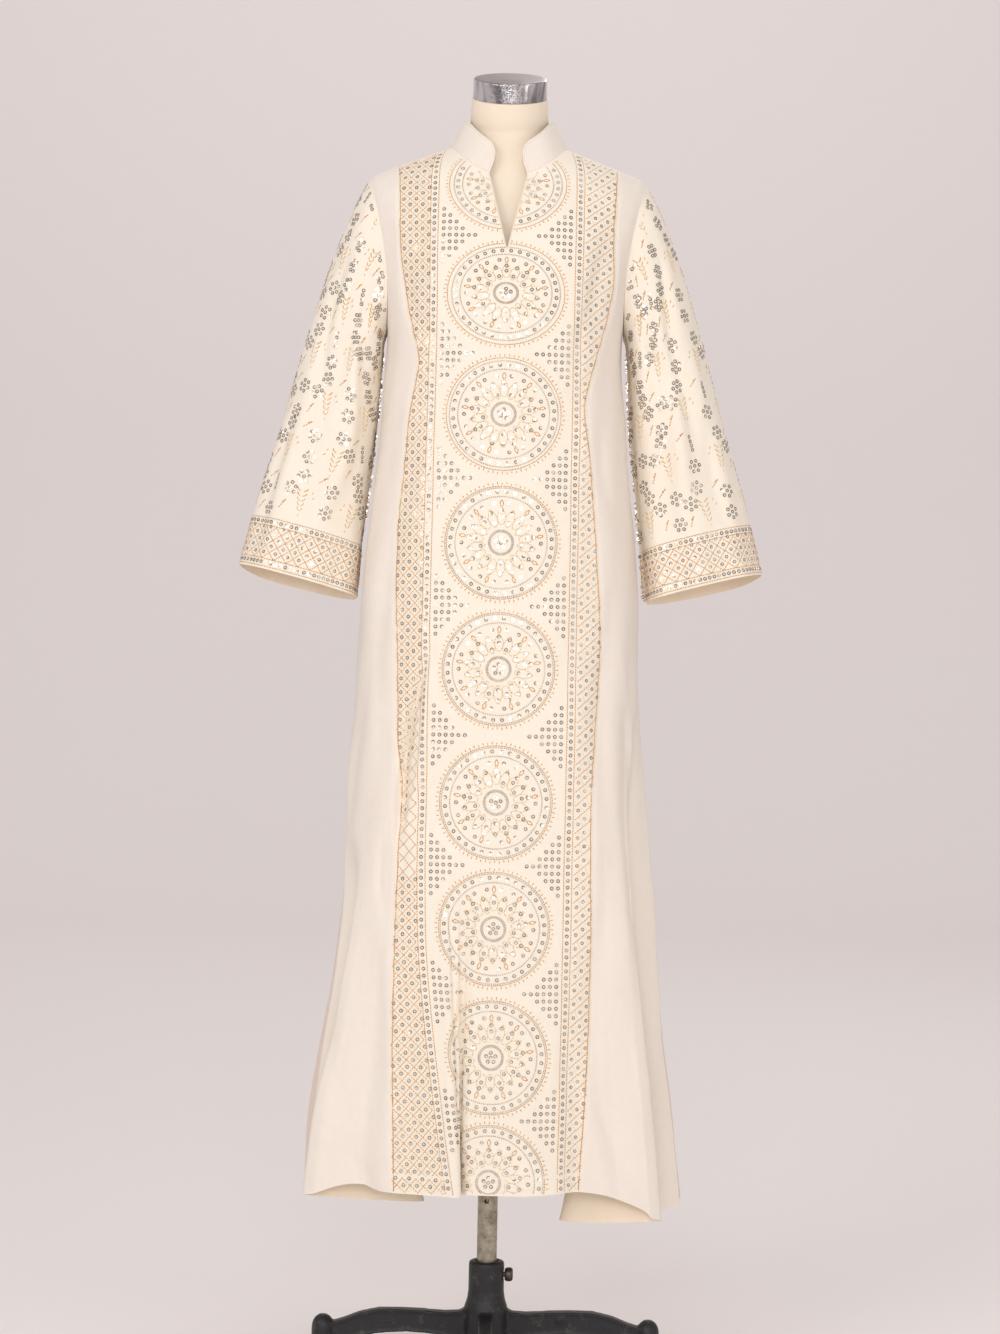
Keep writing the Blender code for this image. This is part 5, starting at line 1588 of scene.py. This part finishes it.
def draw_sleeve(side):
    """Clusters, flowers, strings and stems over a bordered cuff, all round the sleeve."""
    design = Design()
    for row in range(CELL_ROWS):
        for col in range(-CELLS_EACH_WAY, CELLS_EACH_WAY + 1):
            lean = 1 if (row + col) % 2 else -1
            x = (col + 0.5 * (row % 2)) * CELL_ACROSS + CELL_JITTER * math.sin(3.1 * row + 1.7 * col)
            y = CELL_FOOT + row * CELL_ALONG + CELL_JITTER * math.sin(2.3 * row - 2.9 * col + side)
            draw_cluster(design, (x, y), lean)
            draw_flower(design, (x + 0.041, y - 0.021 + 0.003 * lean), 33 * col + 10 * row)
            if (row + 2 * col) % 3:
                draw_flower(design, (x + 0.043 - 0.002 * lean, y + 0.012), 20 * row + 17 * col)
            else:
                draw_string(design, (x + 0.041, y + 0.014))
            draw_stroke(design, (x - 0.022 * lean, y - 0.020), 62)
            draw_stroke(design, (x + 0.026, y + 0.025), 40)
    for along in CUFF_LINES:
        design.line("thread", ((-SLEEVE_REACH, along), (SLEEVE_REACH, along)))
    for along, pitch in CUFF_SEQUIN_ROWS:
        places = np.arange(-SLEEVE_REACH, SLEEVE_REACH, pitch)
        design.put("sequin", np.column_stack((places, np.full(len(places), along))), 0.0)
    high, low = CUFF_LINES[1:3]
    for family in (-1, 1):
        for x in np.arange(-SLEEVE_REACH - 0.05, SLEEVE_REACH + 0.05, CUFF_PITCH):
            design.line("thread", ((x, low), (x + family * (high - low), high)))
    for number, along in enumerate(np.arange(low + CUFF_PITCH / 2, high, CUFF_PITCH / 2)):
        places = np.arange(-SLEEVE_REACH - 0.05, SLEEVE_REACH, CUFF_PITCH) + (number % 2) * CUFF_PITCH / 2
        design.put("sequin", np.column_stack((places, np.full(len(places), along))), 0.0, SMALL_SEQUIN)
    return design


def on_sleeve(grid):
    """A test for marks that lie on this sleeve, away from its armhole and underarm."""
    order = np.argsort(grid.armhole_across)
    edge_across, edge_along = grid.armhole_across[order], grid.armhole_along[order]
    low_row, high_row = grid.flat[-1, :, 0], grid.flat[0, :, 0]

    def kept(marks, reach):
        across, along = marks[:, 0], marks[:, 1]
        top = np.interp(across, edge_across, edge_along)
        share = np.clip(along / np.maximum(top, 1e-6), 0, 1)
        least = (1 - share) * low_row.min() + share * high_row.min()
        most = (1 - share) * low_row.max() + share * high_row.max()
        below_top = along < top - ARMHOLE_MARGIN - reach
        return marks[below_top & (across > least + reach) & (across < most - reach)]

    return kept


def stitch_shape():
    """A low pointed bead of thread along X."""
    half = STITCH_PITCH * 0.56
    points = [(-half, 0, 0), (half, 0, 0)]
    points += [(0, 0.5 * STITCH_WIDTH, 0), (0, 0, 0.32 * STITCH_WIDTH),
               (0, -0.5 * STITCH_WIDTH, 0), (0, 0, -0.25 * STITCH_WIDTH)]
    faces = []
    for i in range(4):
        a, b = 2 + i, 2 + (i + 1) % 4
        faces += [(0, b, a), (1, a, b)]
    return points, faces


def bead_shape():
    r = BEAD_RADIUS
    points = [(0, 0, r * 0.9), (0, 0, -r * 0.4)]
    points += [(r * math.cos(t), r * math.sin(t), r * 0.1) for t in np.radians((0, 72, 144, 216, 288))]
    faces = []
    for i in range(5):
        a, b = 2 + i, 2 + (i + 1) % 5
        faces += [(0, a, b), (1, b, a)]
    return points, faces


def sequin_shape():
    """A flat ring with a hole, a little raised and rounded at its rim."""
    steps = 9
    turn = 2 * math.pi * np.arange(steps) / steps
    points = []
    for r, z in ((SEQUIN_RADIUS, 0.0), (SEQUIN_RADIUS * 0.93, 0.00034), (SEQUIN_RADIUS * 0.50, 0.00030)):
        points += [(r * math.cos(t), r * math.sin(t), z) for t in turn]
    faces = []
    for ring in range(2):
        for i in range(steps):
            j = (i + 1) % steps
            faces.append((ring * steps + i, ring * steps + j, (ring + 1) * steps + j, (ring + 1) * steps + i))
    return points, faces


def repeat_tree(look, tilt_deg):
    """Sets one shape on every point, facing outward and turned along its heading."""
    tree = bpy.data.node_groups.new("sewn_on", "GeometryNodeTree")
    tree.interface.new_socket("Points", in_out="INPUT", socket_type="NodeSocketGeometry")
    shape_in = tree.interface.new_socket("Shape", in_out="INPUT", socket_type="NodeSocketObject")
    tree.interface.new_socket("Points", in_out="OUTPUT", socket_type="NodeSocketGeometry")

    def outputs(kind, settings, values):
        return add_node(tree, kind, settings, values).outputs

    def named(name, kind="FLOAT_VECTOR"):
        return outputs("GeometryNodeInputNamedAttribute", {"data_type": kind}, {"Name": name})["Attribute"]

    source = outputs("NodeGroupInput", {}, {})
    shape = outputs("GeometryNodeObjectInfo", {}, {"Object": source["Shape"]})
    points = outputs("GeometryNodeMeshToPoints", {}, {"Mesh": source["Points"]})
    axes = outputs("FunctionNodeAxesToRotation", {"primary_axis": "Z", "secondary_axis": "X"},
                   {"Primary Axis": named("out"), "Secondary Axis": named("along")})
    tilt = math.radians(tilt_deg)
    wobble = outputs("FunctionNodeRandomValue", {"data_type": "FLOAT_VECTOR"},
                     {"Min": (-tilt, -tilt, 0.0), "Max": (tilt, tilt, 0.0), "Seed": WOBBLE_SEED})
    to_turn = outputs("FunctionNodeEulerToRotation", {}, {"Euler": wobble["Value"]})
    tilted = outputs("FunctionNodeRotateRotation", {"rotation_space": "LOCAL"},
                     {"Rotation": axes["Rotation"], "Rotate By": to_turn["Rotation"]})
    repeated = outputs("GeometryNodeInstanceOnPoints", {},
                       {"Points": points["Points"], "Instance": shape["Geometry"],
                        "Rotation": tilted["Rotation"], "Scale": named("size", "FLOAT")})
    real = outputs("GeometryNodeRealizeInstances", {}, {"Geometry": repeated["Instances"]})
    painted = outputs("GeometryNodeSetMaterial", {}, {"Geometry": real["Geometry"], "Material": look})
    add_node(tree, "NodeGroupOutput", {}, {"Points": painted["Geometry"]})
    return tree, shape_in.identifier


SEWN_COLUMNS = ("kind", "word", "shape", "look", "tilt_deg", "lift", "size", "reach")
SEWN = (
    ("thread", "border_stitching", stitch_shape, orange_look, 4.0, 0.00012, 1.0, 0.0008),
    ("petal", "petal_stitching", stitch_shape, pale_orange_look, 4.0, 0.00010, 0.80, 0.0010),
    ("tick", "leaf_stitching", stitch_shape, orange_look, 4.0, 0.00010, 1.00, 0.0010),
    ("fine", "fine_stitching", stitch_shape, pale_orange_look, 4.0, 0.00008, 0.60, 0.0008),
    ("seam", "topstitching", stitch_shape, seam_look, 0.0, 0.00006, 0.62, 0.0),
    ("sequin", "sequins", sequin_shape, sequin_look, 5.0, 0.00022, 1.0, 0.0030),
    ("bead", "beads", bead_shape, grey_look, 0.0, 0.00025, 1.0, 0.0010),
)


def sewn_on(name, marks, place, sort):
    """One piece of all marks of a kind, set on the cloth's surface."""
    flat = marks[:, :2]
    heading = np.stack((np.cos(marks[:, 2]), np.sin(marks[:, 2])), axis=-1)
    aside = np.stack((-heading[:, 1], heading[:, 0]), axis=-1)
    step = 0.0012
    here = place(flat)
    along = place(flat + heading * step) - place(flat - heading * step)
    sideways = place(flat + aside * step) - place(flat - aside * step)
    sound = (np.linalg.norm(along, axis=1) > step * 0.5) & (np.linalg.norm(sideways, axis=1) > step * 0.5)
    here, along, sideways, sizes = here[sound], unit(along[sound]), unit(sideways[sound]), marks[sound, 3]
    out = unit(np.cross(along, sideways))
    mesh = bpy.data.meshes.new(name)
    mesh.from_pydata((here + out * sort["lift"]).tolist(), [], [])
    for label, values in (("out", out), ("along", along)):
        layer = mesh.attributes.new(label, "FLOAT_VECTOR", "POINT")
        layer.data.foreach_set("vector", values.astype(np.float32).reshape(-1))
    layer = mesh.attributes.new("size", "FLOAT", "POINT")
    layer.data.foreach_set("value", (sizes * sort["size"]).astype(np.float32))
    piece = placed(name, mesh)
    shape_mesh = bpy.data.meshes.new(name + "_shape")
    points, faces = sort["shape"]()
    shape_mesh.from_pydata([tuple(map(float, p)) for p in points], [], faces)
    if sort["kind"] != "sequin":
        shape_mesh.shade_smooth()
    shape = placed(name + "_shape", shape_mesh)
    tree, shape_input = repeat_tree(sort["look"], sort["tilt_deg"])
    modifier = piece.modifiers.new("Sewn on", "NODES")
    modifier.node_group = tree
    modifier[shape_input] = shape
    piece = made_plain(piece)
    for attribute in ("out", "along", "size"):
        if attribute in piece.data.attributes:
            piece.data.attributes.remove(piece.data.attributes[attribute])
    bpy.data.objects.remove(shape)
    bpy.data.meshes.remove(shape_mesh)
    bpy.data.node_groups.remove(tree)
    return piece


def all_sewn(prefix, design, kept, place, looseness=1.0):
    """The pieces sewn on one cloth, tilted more where they hang looser; kept leaves out what is off it."""
    made = []
    for row in SEWN:
        sort = dict(zip(SEWN_COLUMNS, row))
        marks = design.all_of(sort["kind"])
        if kept:
            marks = kept(marks, sort["reach"])
        if len(marks):
            sort["tilt_deg"] *= looseness
            made.append(sewn_on(prefix + "_" + sort["word"], marks, place, sort))
    return made


grids, body_cloth = build_body_cloth()
collar_grid = collar_points(neckline_path(grids))
collar = shell("collar_cloth", [collar_grid], COLLAR_WALL, plain_look)
sleeves = {side: SleeveCloth(side, grids) for side in (-1, 1)}
sleeve_cloth = {}
for side, word in LEFT_RIGHT:
    grid = sleeves[side]
    sleeve_cloth[word] = shell("sleeve_%s_cloth" % word, [(grid.points, grid.flat)], CLOTH_WALL,
                               ground_look, round_itself=True)
torso = build_torso_cloth()
cap = build_cap()
pole = build_pole()
casting = build_base()
screw = build_screw()

front_work = all_sewn("front", draw_front(), on_front, body_place)
front_work += all_sewn("slit", draw_slit(), None, body_place)
collar_work = all_sewn("collar", draw_collar(float(collar_grid[1][0, -1, 0])), None, collar_place)
sleeve_work = {}
for side, word in LEFT_RIGHT:
    sleeve_work[word] = all_sewn("sleeve_" + word, draw_sleeve(side), on_sleeve(sleeves[side]),
                                 sleeves[side].place, SLEEVE_LOOSENESS)


def hand_over(piece, node=None, body="form"):
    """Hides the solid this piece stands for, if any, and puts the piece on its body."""
    if node:
        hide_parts(node)
    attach(piece, body)


for name, piece in body_cloth.items():
    hand_over(piece, name)
hand_over(collar, "collar")
for word, piece in sleeve_cloth.items():
    hand_over(piece, "sleeve_" + word)
for piece in front_work + sleeve_work["left"] + sleeve_work["right"]:
    hand_over(piece)
for piece in collar_work:
    hand_over(piece)
hand_over(torso, "form_torso")
hand_over(cap, "neck_cap")
hand_over(pole, "pole")
hand_over(casting, "base_casting", "base")
hand_over(screw, "set_screw", "base")


SWEEP_HALF = 14.0
SWEEP_BACK_Y = 6.5
SWEEP_ROUND = 2.0
SWEEP_TOP_Z = 9.0


def build_studio():
    """Pale floor that sweeps up into a plain wall."""
    profile = [(-SWEEP_HALF, 0.0), (SWEEP_BACK_Y, 0.0)]
    for t in np.radians(np.linspace(8, 90, 12)):
        profile.append((SWEEP_BACK_Y + SWEEP_ROUND * math.sin(t), SWEEP_ROUND - SWEEP_ROUND * math.cos(t)))
    profile.append((SWEEP_BACK_Y + SWEEP_ROUND, SWEEP_TOP_Z))
    points, faces = [], []
    for y, z in profile:
        points += [(-SWEEP_HALF, y, z), (SWEEP_HALF, y, z)]
    for i in range(len(profile) - 1):
        faces.append((2 * i, 2 * i + 1, 2 * i + 3, 2 * i + 2))
    mesh = bpy.data.meshes.new("studio_sweep")
    mesh.from_pydata(points, [], faces)
    mesh.shade_smooth()
    pale = Paint("studio_pale").finish(Base_Color=colour(245, 240, 238), Roughness=0.9,
                                       Specular_IOR_Level=0.1)
    mesh.materials.append(pale)
    placed("studio_sweep", mesh)


def area_light(name, place, target, size, power, tint):
    data = bpy.data.lights.new(name, "AREA")
    data.shape = "RECTANGLE"
    data.size, data.size_y = size
    data.energy = power
    data.color = tint
    light = placed(name, data)
    light.location = place
    light.rotation_euler = (Vector(target) - Vector(place)).to_track_quat("-Z", "Y").to_euler()


CAMERA_DISTANCE = 3.9
CAMERA_HEIGHT = 0.984
CAMERA_X = 0.002
CAMERA_ROLL_DEG = 1.15
FRAME_HEIGHT = 1.868
SENSOR = 36.0


def set_camera():
    data = bpy.data.cameras.new("photo_camera")
    data.sensor_fit = "VERTICAL"
    data.sensor_height = SENSOR
    data.lens = SENSOR * CAMERA_DISTANCE / FRAME_HEIGHT
    camera = placed("photo_camera", data)
    camera.location = (CAMERA_X, -CAMERA_DISTANCE, CAMERA_HEIGHT)
    turned_up = Matrix.Rotation(math.pi / 2, 4, "X")
    rolled = Matrix.Rotation(math.radians(CAMERA_ROLL_DEG), 4, "Z")
    camera.rotation_euler = (turned_up @ rolled).to_euler()
    bpy.context.scene.camera = camera


def set_light():
    world = bpy.data.worlds.new("studio_air")
    world.use_nodes = True
    air = world.node_tree.nodes["Background"]
    air.inputs["Color"].default_value = colour(232, 226, 226)
    air.inputs["Strength"].default_value = 0.70
    bpy.context.scene.world = world
    for row in (
            ("front", (0.0, -4.1, 1.65), (0.0, 0.0, 1.2), (1.2, 1.0), 39.0, (1.0, 0.99, 0.98)),
            ("key", (-2.3, -3.0, 2.4), (0.0, 0.0, 1.1), (1.5, 1.9), 32.0, (1.0, 0.98, 0.97)),
            ("fill", (2.6, -2.4, 1.2), (0.0, 0.0, 0.9), (1.6, 2.0), 10.5, (1.0, 0.95, 0.90)),
            ("low", (0.0, -2.6, 0.06), (0.0, 0.1, 0.7), (2.4, 1.2), 4.5, (1.0, 0.97, 0.93)),
            ("top", (0.2, -0.6, 3.6), (0.0, 0.0, 1.2), (2.0, 1.6), 10.0, (1.0, 0.99, 0.98)),
            ("wall", (0.0, 4.6, 5.6), (0.0, 8.5, 1.6), (7.0, 1.2), 55.0, (1.0, 0.98, 0.97)),
            ("back", (1.2, 3.2, 4.0), (0.0, 0.0, 0.9), (2.2, 1.6), 22.0, (1.0, 0.99, 0.98))):
        area_light(*row)


build_studio()
set_light()
set_camera()
bpy.context.scene.view_settings.view_transform = "Standard"
